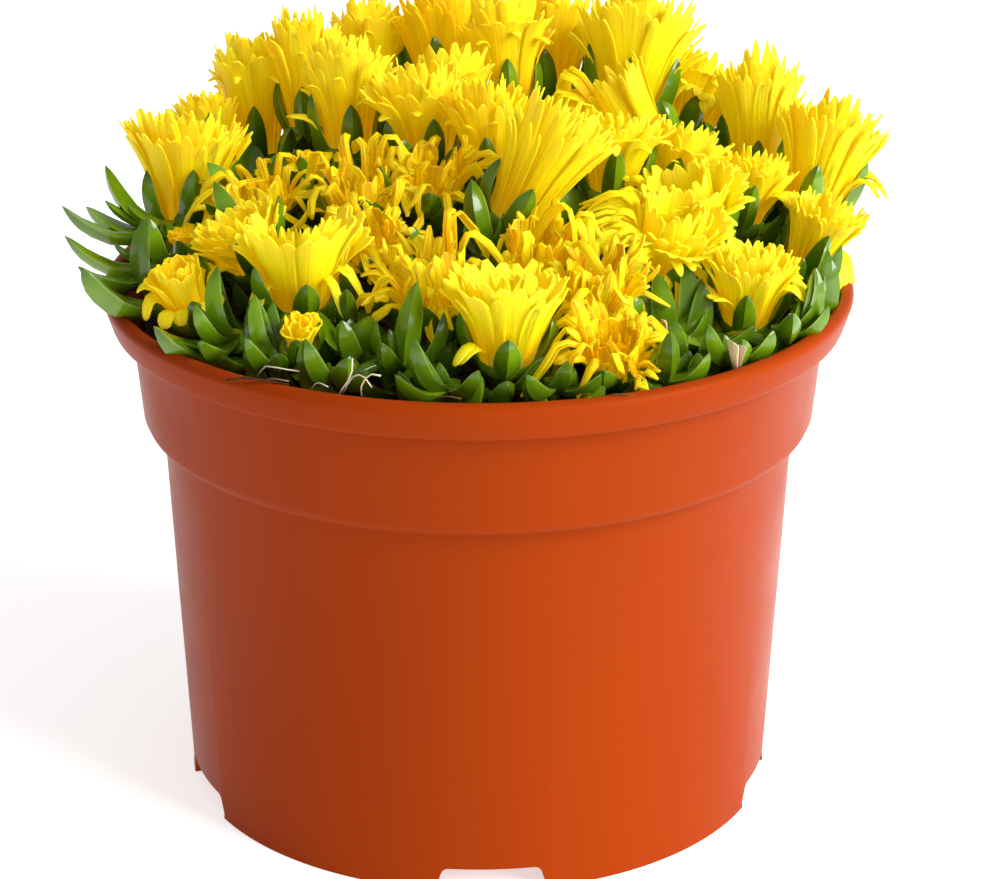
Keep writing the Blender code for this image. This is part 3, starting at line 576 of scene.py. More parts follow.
def leaf_finish():
    """Waxy green skin: pale at the root, darker at the tip, with a painted highlight along the ridges."""
    finish = Finish("leaf_green")
    _, across_leaf, along_leaf, tone = finish.grain()
    place = finish.place()
    stops = [(0.0, GREEN_ROOT), (0.3, GREEN_BELLY), (0.75, GREEN_BELLY), (1.0, GREEN_TIP)]
    green = finish.mixed(tone, finish.ramp(along_leaf, stops), GREEN_DEEP)
    # The ridges are lightened with a painted highlight.
    painted_ridge_highlight = finish.scaled(finish.unsigned(across_leaf), 0.88, 1.0, 0.0, 0.6)
    green = finish.mixed(painted_ridge_highlight, green, GREEN_RIDGE_HIGHLIGHT)
    blotch = finish.scaled(finish.noise(place, 260.0), 0.3, 0.7, 0.78, 1.12)
    tint = finish.node("CombineXYZ", X=blotch, Y=blotch, Z=blotch).outputs["Vector"]
    cells = finish.noise(place, 2200.0, 2.0)
    wax = finish.noise(place, 180.0, 3.0)
    return finish.done({
        "Base Color": finish.mixed(1.0, green, tint, "MULTIPLY"),
        "Normal": finish.bumped(cells, 0.12, 0.0001),
        "Roughness": finish.scaled(wax, 0.3, 0.7, 0.17, 0.32),
        "IOR": 1.32,
        "Coat Weight": 0.45,
        "Coat Roughness": 0.08,
        "Subsurface Weight": 0.12,
        "Subsurface Radius": (0.4, 1.0, 0.2),
        "Subsurface Scale": SKIN_GLOW_DEPTH * MM,
    })


leaf_model = leaf_shape()
leaf_skin = leaf_finish()
greens = [[] for _ in STEMS]
shade_draw = random.Random(SHADE_SEED)


def add_leaf(stem, root, tip, width, bow=LEAF_BOW):
    """One leaf on a stem's piece, a little unlike its neighbours."""
    controls, side = leaf_line(root, tip, bow)
    tone = shade_draw.uniform(0.0, 0.75)
    greens[stem].append(bent_copy(leaf_model, controls, side, width / 2, width * LEAF_DEPTH_SHARE, tone))


def add_branch(stem, end, arriving):
    """A green branch from the crown of its stem."""
    controls = branch_line(stem, end, arriving)
    side, _ = across((controls[1] - controls[0]).normalized())
    greens[stem].append(bent_copy(branch_model, controls, side, BRANCH_RADIUS, BRANCH_RADIUS, BRANCH_TONE))
    return controls


def add_shoot(foot, tips, draw):
    """A shoot: a short branch with a leaf to each tip and young leaves in its heart."""
    stem = nearest_stem(foot)
    add_branch(stem, foot + UP * 2, UP)
    heart = sum(tips, Vector()) / len(tips)
    for tip in tips:
        aim = (tip - foot).normalized()
        root = foot + Vector((aim.x, aim.y, 0)) * 0.5 + UP * 0.6
        add_leaf(stem, root, tip, LEAF_WIDTH * draw.uniform(0.85, 1.08))
    turn = shade_draw.uniform(0, math.pi)
    full = foot.y > FULL_SHOOT_Y
    for way in (0, math.pi) if full else (0,):
        out = outward(turn + way)
        young = foot + (heart - foot) * 0.62 + out * 2.2 + UP
        add_leaf(stem, foot + out * 0.4 + UP * 1.2, young, LEAF_WIDTH * 0.62, 0.12)
    for way in (0.5 * math.pi, 1.5 * math.pi) if full else ():
        out = outward(turn + way)
        low = foot + out * shade_draw.uniform(5.0, 7.5) + UP * shade_draw.uniform(2.5, 5.0)
        add_leaf(stem, foot - UP * 0.6 + out * 0.5, low, LEAF_WIDTH * 0.8, 0.15)


draw = random.Random(SHOOT_SEED)
for foot, tips in SHOOTS:
    add_shoot(Vector(foot), [Vector(tip) for tip in tips], draw)
rear_draw = random.Random(REAR_SEED)
for bearing in REAR_BEARINGS:
    out = outward(math.radians(bearing))
    side = Vector((-out.y, out.x, 0))
    tips = []
    for sideways in (-REAR_LEAF_GAP, 0, REAR_LEAF_GAP):
        tip = out * rear_draw.uniform(55, 58) + side * (sideways + rear_draw.uniform(-1, 1))
        tips.append(tip + UP * (REAR_HEIGHT + rear_draw.uniform(7, 11)))
    add_shoot(out * REAR_REACH + UP * REAR_HEIGHT, tips, draw)
middle_draw = random.Random(MIDDLE_SEED)
for x, y in MIDDLE_SHOOTS:
    foot = Vector((x, y, MIDDLE_HEIGHT + (MIDDLE_BACK_RISE if y > MIDDLE_BACK_Y else 0)))
    first = middle_draw.uniform(0, math.pi / 2)
    tips = []
    for quarter in range(4):
        turn = first + quarter * math.pi / 2
        tips.append(foot + outward(turn) * middle_draw.uniform(5, 7.5) + UP * middle_draw.uniform(6, 9))
    add_shoot(foot, tips, draw)

# The leaves that show one by one in the photograph: root, tip and width.
HAND_LEAVES = [
    ((-36.5, -34, 84), (-48.2, -37.5, 89.8), 5.4), ((-35, -27.9, 84), (-42, -30.9, 90.7), 4.6),
    ((-34.5, -35, 84), (-41.3, -38, 87.8), 4.6), ((-34.9, -22.5, 84), (-39.7, -23.5, 94.5), 5),
    ((-39.2, -18.9, 84), (-43.2, -18.9, 89.7), 3.6), ((-32.9, -16.6, 86), (-37.6, -18.6, 90.1), 4),
    ((-30.5, -34.4, 83), (-33.2, -36.4, 94.3), 6), ((-32, -39.5, 83), (-33.9, -41.5, 89.4), 3.6),
    ((-27.9, -39, 82), (-30.3, -41, 87.5), 3.8), ((-22.1, -41.9, 82), (-25.6, -44.9, 90.3), 5.6),
    ((-19.7, -30.9, 83), (-19.2, -32.9, 89.6), 4.6), ((-17.1, -27.5, 84), (-17, -28.5, 87.7), 4),
    ((-22.3, -23, 84), (-24.2, -24, 87.9), 3.8), ((-19.1, -38.6, 82), (-19, -40.6, 86.5), 4),
    ((-14.6, -34.7, 82), (-18.2, -37.7, 87.7), 4.4), ((-13.6, -41.9, 82), (-17.5, -44.9, 84.6), 4),
    ((-10.9, -30.5, 83), (-9.2, -31.5, 94.9), 4.4), ((-7.9, -30.5, 83), (-5.4, -32.5, 90.1), 4.6),
    ((-14.4, -30.5, 83), (-15.4, -31.5, 88.3), 3.8), ((-13, -37.7, 82), (-13.6, -39.7, 88.4), 4.4),
    ((-2.8, -44.8, 82), (-9.4, -48.8, 91.8), 5.6), ((-1.8, -48.1, 82), (0, -51.1, 87.5), 3.8),
    ((-7.6, -46.9, 82), (-11.5, -49.9, 87.4), 4.4), ((7.6, -40.7, 82), (9.9, -42.7, 86.5), 4),
    ((8.9, -46.9, 82), (7.5, -49.9, 86.4), 3.8), ((3.2, -45.7, 82), (4.2, -47.7, 85), 4),
    ((1.1, 6.6, 88), (-1.3, 6.6, 99), 5), ((32, -24.8, 84), (34.1, -25.8, 92.7), 5.2),
    ((23.9, -40.7, 82), (27.8, -41.7, 90.1), 5), ((23.5, -26.5, 84), (23.4, -25.5, 97), 5.2),
    ((28, -27, 84), (26.9, -27.5, 95), 5), ((30.5, -24, 84), (31.5, -23.5, 95.5), 4.8),
    ((24, -34, 82), (22, -35.5, 88.5), 5.2), ((29, -33, 82), (29.5, -34.5, 89.5), 5.4),
    ((25.4, -31.4, 83), (25.5, -33.4, 88.5), 5.2), ((34.5, -29.4, 86), (41.5, -32.4, 88), 4.4),
    ((34.6, -34.3, 82), (34.2, -35.3, 88.1), 4.4), ((32.6, -37.7, 82), (32.5, -39.7, 86.4), 3.8),
    ((41.7, -29.6, 83), (47.1, -30.6, 89.5), 4.4), ((47.4, -24.8, 84), (51.2, -25.8, 95), 4.8),
    ((51.9, -15.1, 84), (54.1, -16.1, 93.7), 4.6), ((29.1, -36, 82), (31.5, -38, 86.2), 4.4),
    ((37.2, -31.7, 82), (38.6, -32.7, 86.7), 4), ((44.5, -26.6, 84), (48.9, -26.6, 90.1), 4.4),
    ((-26.9, -31.9, 84), (-27.9, -32.9, 88.8), 4.2), ((-24.1, -32.7, 83), (-22.2, -33.7, 87.8), 4.2),
    ((-11.6, -25.8, 85), (-12.2, -25.8, 90.5), 4), ((-5.1, -36, 82), (-3.9, -38, 87.5), 4.2),
    ((12.1, -44.4, 82), (13.7, -46.4, 86.8), 4.2), ((15, -46.1, 82), (18.3, -49.1, 85), 4),
    ((20.2, -44.4, 82), (23.7, -46.4, 84.6), 4), ((-51.7, -19.5, 88), (-60.4, -23.5, 94.4), 5.8),
    ((-50.6, -10, 88), (-51.3, -11, 98.3), 5.2), ((15.6, 5.3, 96), (17.9, 5.3, 101.8), 4.6),
    ((14.6, 0.6, 95), (12.4, 0.6, 100.8), 4.6), ((10.6, -1.5, 94), (12.9, -1.5, 99.8), 4.4),
    ((19.2, 2.7, 96), (19.7, 2.7, 101.5), 4.4), ((6.6, -6.7, 94), (5.3, -6.7, 99.8), 4.2),
    ((-11.6, -3.1, 92), (-13, -3.1, 98.6), 4.4), ((-4.1, -3.6, 93), (-3.2, -3.6, 99.4), 4.2),
    ((-22.3, 8.5, 95), (-21.3, 8.5, 100.9), 4.2), ((-35.2, 33.5, 96), (-35.8, 35.5, 102.8), 5.2),
    ((-38, 25.2, 95), (-39, 27.2, 101.3), 4.8), ((-29.3, 17.2, 94), (-28.2, 17.2, 99.5), 4.4),
    ((-31.1, 22, 96), (-30.8, 21.5, 103.3), 4.2), ((-29.9, 24, 95.7), (-29, 23.5, 101.5), 4.2),
    ((-13.6, 16, 98.5), (-13.2, 15.5, 105), 4.4), ((39.5, 24, 96.5), (40.2, 23.5, 105), 4.4),
    ((37.7, 22, 96.5), (37.1, 21.5, 104.5), 4.2), ((41.8, 24, 95), (42.9, 23.5, 102.7), 4.2),
]
for root, tip, width in HAND_LEAVES:
    root, tip = Vector(root), Vector(tip)
    line, stem = tip - root, nearest_stem(root)
    if root.z > TALL_LEAF_Z:
        add_branch(stem, root - line * 0.15, line.normalized())
    add_leaf(stem, root - line * 0.2 - UP * 1.2, tip, width * 1.02, 0.13)

# Cups: the plump green base of each bloom, lime where it swells, with pointed fleshy lobes
# that hug the petals, and a pair of leaves below it.
CUP_HEIGHT = 3.0
CUP_PALE = 0.3
CUP_RADIUS = 4.1
CUP_MOUTH_SHARE = 0.86
SMALLEST_CUP = 0.55
LARGEST_CUP = 1.15
CUP_GROWTH = 17
LOBE_LENGTH = 9.6
LOBE_WIDTH = 3.7
LOBE_LEVELS = (0.16, 0.62, 1.0)
LOBE_SHARE = 0.7
LOBE_SHARES = {"fan": 1.0, "strands": 0.8, "funnel": 0.9, "limp": 0.5}
PETAL_FOOT_SHARE = 0.42
PETAL_SINK = 1.4

# A bloom: its name, the foot of its green cup, the tip of its brush of petals, the radius at the
# tips, its form and its age.
BLOOMS = [
    ("left_fan", (-48, 14, 87), (-47, 13, 107), 10, "fan", 0.25),
    ("left_back_small", (-44, 30, 93), (-46, 32, 105), 5.8, "fan", 0.4),
    ("left_back_fan", (-37, 34, 92), (-38, 37, 113), 7.4, "funnel", 0.15),
    ("back_left_1", (-28, 30, 98), (-29, 33, 118), 7.2, "funnel", 0.4),
    ("tall_left", (-21, 18, 98), (-22, 20, 117), 7.6, "funnel", 0.2),
    ("back_left_2", (-18, 41, 100), (-19, 45, 117), 7.6, "funnel", 0.3),
    ("middle_left", (-8, 13, 98), (-9, 11, 115), 8.4, "funnel", 0.2),
    ("middle_back", (-3, 24, 98), (-5, 26, 114), 8, "funnel", 0.3),
    ("back_1", (-5, 38, 101), (-6, 42, 119), 8.6, "fan", 0.8),
    ("back_2", (5, 27, 102), (4, 30, 121), 7.4, "funnel", 0.5),
    ("back_3", (12, 41, 100), (12, 46, 118), 9, "funnel", 0.55),
    ("middle", (2, 4, 98), (1, 3, 115), 6.6, "funnel", 0.5),
    ("leaning_fan", (4, -12, 96), (14, -14, 117), 9, "strands", 0.15),
    ("back_big_fan", (25, 31, 100), (27, 34, 120), 10.5, "fan", 0.02),
    ("back_arching", (29, 19, 98), (21, 17, 114), 9, "arch_left", 0.3),
    ("right_middle_1", (21, 2, 96), (22, 1, 111), 7.4, "funnel", 0.05),
    ("back_right", (34, 34, 96), (39, 38, 111), 9, "arch", 0.12),
    ("right_tall", (46, 22, 90), (46, 25, 112), 7.2, "fan", 0.22),
    ("right_fan", (53, 12, 89), (58, 13, 108.5), 9, "fan", 0.28),
    ("right_low", (51, 0, 84), (56, -3, 98), 6.2, "fan", 0.08),
    ("right_middle_2", (29, 7, 94), (34, 6, 107), 7.2, "funnel", 0),
    ("right_pair", (42, 8, 89), (45, 8, 102), 6.2, "fan", 0.4),
    ("right_flared", (35, -4, 90), (31, -9, 104), 10.5, "sweep", 0),
    ("right_front_flared", (28, -15, 89), (31, -20, 103), 10, "sweep", 0.05),
    ("right_front_fan", (41, -20, 82), (42, -24, 97), 7.2, "fan", 0.1),
    ("left_front_small", (-43, -22, 84), (-46, -26, 96), 6.5, "trumpet", 0.45),
    ("left_front_flared", (-27, -25, 87), (-27, -29, 103), 10, "two_lobed", 0),
    ("left_golden", (-34, -12, 89), (-38, -15, 99), 7.6, "fan", 0.35),
    ("left_wilted", (-34, 1, 93), (-35, -1, 102), 10.5, "limp", 0.55),
    ("left_bud", (-27, 9, 95), (-27, 9, 103), 4, "bud", 0.8),
    ("wilted_star", (-18, -6, 95), (-19, -8, 107), 9.5, "limp", 0.35),
    ("middle_wilted", (-8, -3, 97), (-7, -6, 108), 10.5, "limp", 0.6),
    ("front_wilted_1", (-15, -18, 92), (-17, -22, 103), 9, "limp", 0.5),
    ("front_wilted_2", (-6, -31, 88), (-8, -35, 101), 10, "limp", 0.4),
    ("front_flared", (4, -41, 84), (5, -45, 100), 9.5, "sheets", 0.03),
    ("front_wilted_3", (9, -24, 91), (9, -28, 103), 9, "limp", 0.45),
    ("front_spidery_1", (17, -30, 87), (18, -35, 101), 10, "limp", 0.35),
    ("front_spidery_2", (20, -40, 83), (20, -45, 93), 9, "limp", 0.65),
    ("front_bud", (-27, -37, 84), (-26, -41, 92), 3.2, "bud", 0.6),
    ("left_tiny_bud", (-46, -2, 87), (-47, -4, 94), 2.4, "bud", 1),
    ("rear_1", (-27, 45, 90), (-29, 50, 106), 7, "funnel", 0.2),
    ("rear_2", (-3, 50, 89), (-3, 54, 105), 5.5, "funnel", 0.4),
    ("rear_3", (24, 46, 90), (26, 51, 107), 7, "arch", 0.2),
]


def petal_line(t, start, reach, rise, bow):
    """How far out and how high a petal is along its length, from 0 to 1."""
    spread = start + max(reach - start, 0) * (0.55 * t + 0.45 * t * t)
    return spread, CUP_HEIGHT - PETAL_SINK + (rise + PETAL_SINK) * t + 4 * bow * t * (1 - t)


def head_start(radius):
    """The size of a bloom's cup, and how far from its axis the petals start."""
    size = min(LARGEST_CUP, SMALLEST_CUP + radius / CUP_GROWTH)
    return size, min(PETAL_FOOT_SHARE * radius, CUP_MOUTH_SHARE * CUP_RADIUS * size)


cup_model = model_arrays(raised("cup_model", [
    (0.3, 0.0), (0.52, 0.12), (0.76, 0.32), (0.94, 0.58), (1.0, 0.8), (0.98, 0.94),
    (0.9, 1.0), (0.78, 0.97), (0.7, 0.86),
], sides=16))

for name, foot, tip, radius, form, age in BLOOMS:
    foot = Vector(foot)
    axis = (Vector(tip) - foot).normalized()
    stem = nearest_stem(foot)
    size, start = head_start(radius)
    cup_radius, width = CUP_RADIUS * size, LOBE_WIDTH * size
    head_length = (Vector(tip) - foot).length - CUP_HEIGHT
    controls = add_branch(stem, foot, axis)
    side, up = across(axis)
    cup_line = [foot - axis * 0.6, foot + axis * 1.2, foot + axis * (CUP_HEIGHT + 0.4)]
    cup, cup_grain = bent_copy(cup_model, cup_line, side, cup_radius, cup_radius, 0.0)
    cup_grain[:, 1] *= CUP_PALE
    greens[stem].append((cup, cup_grain))
    first_turn = math.atan2(-up.y, -side.y) + shade_draw.uniform(-0.3, 0.3)
    lobes = 5 if radius > 9.5 else 4 if radius > 6.8 else 3
    for number in range(lobes):
        out = outward(first_turn + 2 * math.pi * number / lobes, side, up)
        length = LOBE_LENGTH * size * LOBE_SHARES.get(form, LOBE_SHARE) * shade_draw.uniform(0.85, 1.1)
        levels = [share * length for share in LOBE_LEVELS]
        low, middle, top = (petal_line(z / head_length, start, radius, 0, 0)[0] for z in levels)
        lobe_line = [
            foot + out * (0.55 * cup_radius) + axis * 0.8,
            foot + out * max(1.1 * cup_radius, low + 0.3 * width) + axis * (CUP_HEIGHT + levels[0]),
            foot + out * (middle + 0.34 * width) + axis * (CUP_HEIGHT + levels[1]),
            foot + out * (top + 0.1 * width) + axis * (CUP_HEIGHT + levels[2]),
        ]
        tone = shade_draw.uniform(0.0, 0.45)
        lobe = bent_copy(leaf_model, lobe_line, axis.cross(out), width / 2, width * 0.3, tone)
        greens[stem].append(lobe)
    first_turn += math.pi / 4
    for step, share, lift in ((0, 1.0, 0.78), (1, 0.8, 0.55)):
        length = shade_draw.uniform(11, 14) * share * (0.6 if form == "limp" else 0.85)
        for half in (0, math.pi):
            out = outward(first_turn + half + step * math.pi / 2, side, up)
            root = controls[-2] - axis * (2.2 * step)
            leaf_tip = root + out * (0.62 * length) + axis * (lift * length)
            add_leaf(stem, root, leaf_tip, LEAF_WIDTH * share)

# Each stem's piece holds its own wood and all the branches, cups and leaves that it carries.
stem_model = model_arrays(raised("stem_model", [
    (1.0, 0.0), (0.95, 0.3), (1.02, 0.6), (0.9, 0.9), (0.55, 1.0),
], sides=10))
for stem, copies in enumerate(greens):
    top = crown(stem)
    foot = top - UP * STEM_DEPTH
    stem_line = [foot, (foot + top) / 2, top]
    copies.append(bent_copy(stem_model, stem_line, RIGHT, STEM_RADIUS, STEM_RADIUS, STEM_TONE))
    node = f"stem_{stem + 1:02d}"
    leafy = piece_from(f"leafy_{node}", copies, leaf_skin)
    smooth_by_angle(leafy, RIDGE_ANGLE)
    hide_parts(node)

# Petals: narrow, thin and silky. Low down they overlap into one smooth funnel, and they are
# free at their tips. Old ones hang, twist and dry to gold.

# A row of sheets: how many, from and to which bearing (0 right, 90 back, 180 left, 270 front),
# how far out and how high its edge is (shares of the bloom's radius and length), how much it
# arches, how much of its share of the circle it covers, and how ruffled it is.
SHEETS = {
    "fan": [
        (8, 0, 360, 1, 0.87, 0.05, 1.18, 0.25), (6, 0, 360, 0.8, 0.97, 0.03, 1.14, 0.3),
        (4, 0, 360, 0.52, 1, 0.01, 1.08, 0.3),
    ],
    "strands": [
        (6, 270, 420, 1, 0.8, 0.04, 1.14, 0.3), (6, 250, 450, 0.88, 0.9, 0.04, 1.12, 0.3),
        (6, 0, 360, 0.6, 0.96, 0.02, 1.05, 0.4),
    ],
    "funnel": [
        (6, 0, 360, 1.04, 0.82, 0.1, 1.18, 0.4), (6, 0, 360, 0.84, 0.95, 0.06, 1.16, 0.4),
        (4, 0, 360, 0.54, 1, 0.02, 1.1, 0.4),
    ],
    "sheets": [
        (3, 182, 358, 1.02, 0.92, 0.1, 1.2, 0.3), (4, -10, 190, 0.95, 0.96, 0.06, 1.15, 0.4),
        (3, 195, 345, 0.8, 0.9, 0.06, 1.15, 0.3), (4, 0, 180, 0.7, 1.04, 0.04, 1.15, 0.4),
        (3, 0, 360, 0.42, 0.92, 0.02, 1.1, 0.4),
    ],
    "two_lobed": [
        (2, 130, 268, 1, 0.9, 0.08, 1.12, 0.3), (2, 272, 410, 1, 0.98, 0.08, 1.12, 0.3),
        (2, 150, 262, 0.78, 0.88, 0.05, 1.15, 0.4), (2, 278, 400, 0.78, 0.96, 0.05, 1.15, 0.4),
        (2, 150, 250, 0.5, 0.88, 0.02, 1.1, 0.4), (2, 290, 390, 0.5, 0.96, 0.02, 1.1, 0.4),
        (3, 60, 120, 0.6, 0.86, 0.06, 1.1, 0.5),
    ],
    "sweep": [
        (4, 245, 435, 1.04, 0.66, 0.24, 1.15, 0.4), (4, 230, 440, 0.84, 0.86, 0.14, 1.12, 0.4),
        (4, 0, 360, 0.52, 1, 0.04, 1.1, 0.3), (3, 110, 240, 0.7, 0.62, 0.2, 0.9, 0.4),
    ],
    "arch": [
        (6, 0, 360, 1, 0.46, 0.42, 1.08, 0.5), (6, 0, 360, 0.78, 0.74, 0.28, 1.1, 0.4),
        (4, 0, 360, 0.5, 0.94, 0.08, 1.1, 0.3),
    ],
    "arch_left": [(4, 290, 450, 0.66, 0.92, 0.08, 1.05, 0.4), (4, 0, 360, 0.44, 0.9, 0.04, 1, 0.3)],
    "trumpet": [(4, 0, 360, 0.66, 0.84, 0.08, 1.1, 0.5), (4, 0, 360, 0.42, 0.92, 0.04, 1, 0.5)],
    "limp": [(3, 0, 360, 0.42, 0.46, 0.14, 0.8, 0.6), (2, 0, 360, 0.26, 0.8, 0.02, 0.8, 0.6)],
    "bud": [(3, 0, 360, 0.95, 0.86, 0.1, 1, 0.6), (3, 0, 360, 0.6, 0.96, 0.04, 1, 0.6)],
}
# A row of single petals: how many, from, to, how far, how high, how much they arch, and width.
PETALS = {
    "fan": [
        (9, 0, 360, 1.06, 0.84, 0.07, 2.2), (6, 0, 360, 0.9, 0.98, 0.03, 2.2), (4, 0, 360, 0.6, 1.02, 0, 2),
    ],
    "strands": [
        (9, 110, 250, 1.05, 0.8, 0.1, 1.3), (7, 250, 470, 1.06, 0.84, 0.05, 2),
        (6, 200, 520, 0.85, 1, 0.03, 2), (4, 0, 360, 0.5, 1, 0, 1.9),
    ],
    "funnel": [
        (8, 0, 360, 1.14, 0.66, 0.26, 2), (6, 0, 360, 0.98, 0.92, 0.1, 2.1),
        (4, 0, 360, 0.55, 1.01, 0.02, 2),
    ],
    "sheets": [
        (4, 190, 350, 1, 0.84, 0.1, 2.3), (3, 0, 360, 0.5, 1, 0, 2.2), (2, 205, 235, 1, 0.1, 0.24, 2.2),
    ],
    "two_lobed": [
        (2, 140, 200, 0.92, 0.88, 0.08, 2.2), (2, 350, 400, 0.92, 1, 0.08, 2.2),
        (3, 0, 360, 0.35, 0.8, 0, 2.2), (2, 195, 225, 0.95, 0, 0.46, 2),
        (3, 310, 350, 1.12, 0.1, 0.56, 1.6),
    ],
    "arch": [
        (10, 0, 360, 1.12, 0.3, 0.5, 2), (8, 0, 360, 0.98, 0.6, 0.38, 2), (6, 0, 360, 0.72, 0.9, 0.16, 2),
    ],
    "sweep": [
        (9, 250, 430, 1.16, 0.56, 0.32, 2), (8, 230, 440, 0.95, 0.84, 0.18, 2),
        (14, 150, 235, 1.35, 0.34, 0.52, 1.3), (8, 140, 240, 1, 0.66, 0.4, 1.5),
        (5, 0, 360, 0.6, 1.02, 0.04, 1.9),
    ],
    "arch_left": [
        (18, 130, 230, 1.4, 0.45, 0.58, 1.5), (9, 140, 220, 1.15, 0.6, 0.44, 1.6),
        (6, 30, 130, 0.7, 0.98, 0.1, 1.8),
    ],
    "trumpet": [
        (5, 180, 360, 1.05, 0.22, 0.34, 3), (5, 0, 180, 1, 0.5, 0.26, 3), (6, 0, 360, 0.5, 1, 0, 2.2),
    ],
    "limp": [
        (9, 0, 360, 1.3, -0.2, 0.62, 1.7), (9, 0, 360, 1.12, 0.14, 0.58, 1.8),
        (8, 0, 360, 0.88, 0.6, 0.36, 1.9), (5, 0, 360, 0.5, 1, 0.08, 2),
    ],
    "bud": [(6, 0, 360, 0.9, 0.96, 0.1, 2), (4, 0, 360, 0.4, 1, 0, 1.8)],
}
# How far a petal strays from its row, and how much it twists.
STRAY = {
    "fan": (0.06, 0.2), "strands": (0.07, 0.25), "funnel": (0.09, 0.3), "sheets": (0.09, 0.25),
    "two_lobed": (0.08, 0.25), "arch": (0.14, 0.7), "arch_left": (0.12, 0.5), "sweep": (0.12, 0.5),
    "trumpet": (0.1, 0.3), "limp": (0.28, 1.5), "bud": (0.12, 0.4),
}
# Single petals that a bloom has beside those of its form.
OWN_PETALS = {
    "left_fan": [(5, 285, 350, 1.1, 0.42, 0.1, 1.9)],
    "left_back_fan": [(4, 150, 210, 1.25, 0.52, 0.1, 1.1), (2, 330, 20, 1.2, 0.4, 0.25, 1.6)],
    "tall_left": [(4, 170, 200, 1.45, 0.34, 0.18, 1.5)],
    "middle_left": [(3, 150, 200, 1.15, 0.74, 0.14, 1.8)],
    "back_big_fan": [(7, 150, 205, 1.18, 0.72, 0.1, 1), (5, 330, 20, 1.12, 0.62, 0.1, 1.6)],
    "back_right": [(12, 300, 50, 1.3, 0.3, 0.55, 1.7)],
    "right_middle_1": [(8, 150, 250, 1.15, 0.4, 0.42, 1.4)],
    "right_fan": [(5, 318, 20, 1.36, 0.34, 0.32, 2.3)],
    "right_pair": [(8, 300, 30, 1.5, 0.5, 0.35, 1.7)],
    "right_middle_2": [(10, 310, 40, 1.4, 0.35, 0.5, 1.5)],
    "right_low": [(6, 280, 10, 1.4, 0.05, 0.42, 2.2)],
    "right_flared": [(10, 165, 210, 1.45, 0.52, 0.34, 1.1)],
    "right_front_flared": [(8, 165, 210, 1.38, 0.45, 0.4, 1.1), (7, 200, 330, 1.2, -0.1, 0.6, 1.7)],
    "right_front_fan": [(6, 320, 30, 1.35, 0.5, 0.4, 1.7), (4, 185, 235, 1.2, 0.55, 0.15, 2.4)],
    "left_golden": [(6, 140, 250, 1.1, 0.45, 0.2, 2)],
    "front_wilted_2": [(5, 60, 120, 0.8, 1, 0, 2.2), (4, 150, 200, 1.2, 0.5, 0.2, 1.6)],
    "front_spidery_1": [(9, 330, 80, 1.1, 0.8, 0.05, 1.2), (6, 240, 300, 0.35, 0.75, 0, 2.4)],
    "front_spidery_2": [(8, 300, 30, 1.15, 0.42, 0.16, 1.4), (4, 165, 200, 0.6, 1.5, 0, 2.4)],
}
# How sheets and petals stray: degrees of sway, the most that one rises above its row, and how
# strongly a longer one bows.
SHEET_STRAY = (40, 0.5, 3)
PETAL_STRAY = (60, 0.3, 2)
SHEET_AGE_SPREAD = 0.12
PETAL_AGE_SPREAD = 0.15
HEAD_SEED = 400
PETAL_DEPTH = 0.24
PETAL_SIDES = 8
PETAL_FOLD = 2.2
STRAP_FOLD = 4.0
LIMP_SLACK = 0.9
# How uneven the sides of a head are, and how much its front stands up over its back.
OTHERS_UNEVEN = 0.15
OTHERS_FRONT_LIFT = 0.09
UNEVEN = {"fan": 0.05, "strands": 0.05, "bud": 0.05, "limp": 0.2}
FRONT_LIFT = {"fan": 0.17, "funnel": 0.17, "strands": 0.12, "sheets": 0.29, "two_lobed": 0.28}
SHEET_COLUMNS = 12
SHEET_RIPPLE = 0.035
SHEET_GRAIN_SPREAD = 1.7
SHEET_LEVELS = (0.0, 0.22, 0.44, 0.64, 0.82, 0.975, 1.0)
PETAL_CONTROLS = 6
HEART_SHARE = 0.26
HEART_PALE = 0.3
STAMENS = 26
STAMEN_RADIUS = 0.22
STAMEN_TONE = 0.9
GOLDEN_ANGLE = 137.5
RAGGED_EDGE = [-0.05, 0.01, 0.02, -0.02, 0.03, 0.02, -0.03, 0.02, 0.03, -0.02, 0.02, 0.01, -0.06]
FRINGED_EDGE = [-0.09, 0.02, 0.05, -0.06, 0.06, 0.04, -0.09, 0.03, 0.07, -0.06, 0.05, 0.02, -0.1]
LEMON_ROOT = (0.6, 0.6, 0.13, 1.0)
# Deeper orange low on the petals: partly their own colour, partly painted shade for the shaded lower walls
# of the blooms.
LEMON_LOW_ORANGE_AND_SHADE = (0.76, 0.48, 0.002, 1.0)
LEMON = (0.76, 0.7, 0.007, 1.0)
LEMON_TIP = (0.76, 0.695, 0.028, 1.0)
GOLD_ROOT = (0.82, 0.33, 0.01, 1.0)
GOLD_LOW = (0.83, 0.4, 0.002, 1.0)
GOLD = (0.85, 0.56, 0.005, 1.0)
CREASE = (0.27, 0.105, 0.004, 1.0)
# A painted glow: the petals give off a faint warm light, standing in for light that passes through them
# into their shade.
PETAL_PAINTED_GLOW = (1.0, 0.66, 0.0, 1.0)
PETAL_PAINTED_GLOW_STRENGTH = 0.16


def petal_shape(fold, widths):
    """A thin strip folded along its middle, with a round end."""
    points, faces = model_arrays(raised("petal_model", widths, PETAL_SIDES))
    reach = np.array([width for width, _ in widths])
    level = np.argmin(np.abs(points[:, 2:] - np.array([height for _, height in widths])), axis=1)
    reach = reach[level]
    share = points[:, 0] / reach
    outer, middle = np.abs(share) > 0.9, np.abs(share) < 0.5
    points[:, 0] = np.where(middle, 0, np.sign(share) * np.where(outer, 1, 0.88)) * reach
    points[:, 1] = np.sign(np.round(points[:, 1], 5)) * np.where(outer, 0, 1) - fold * middle * reach
    return points, faces


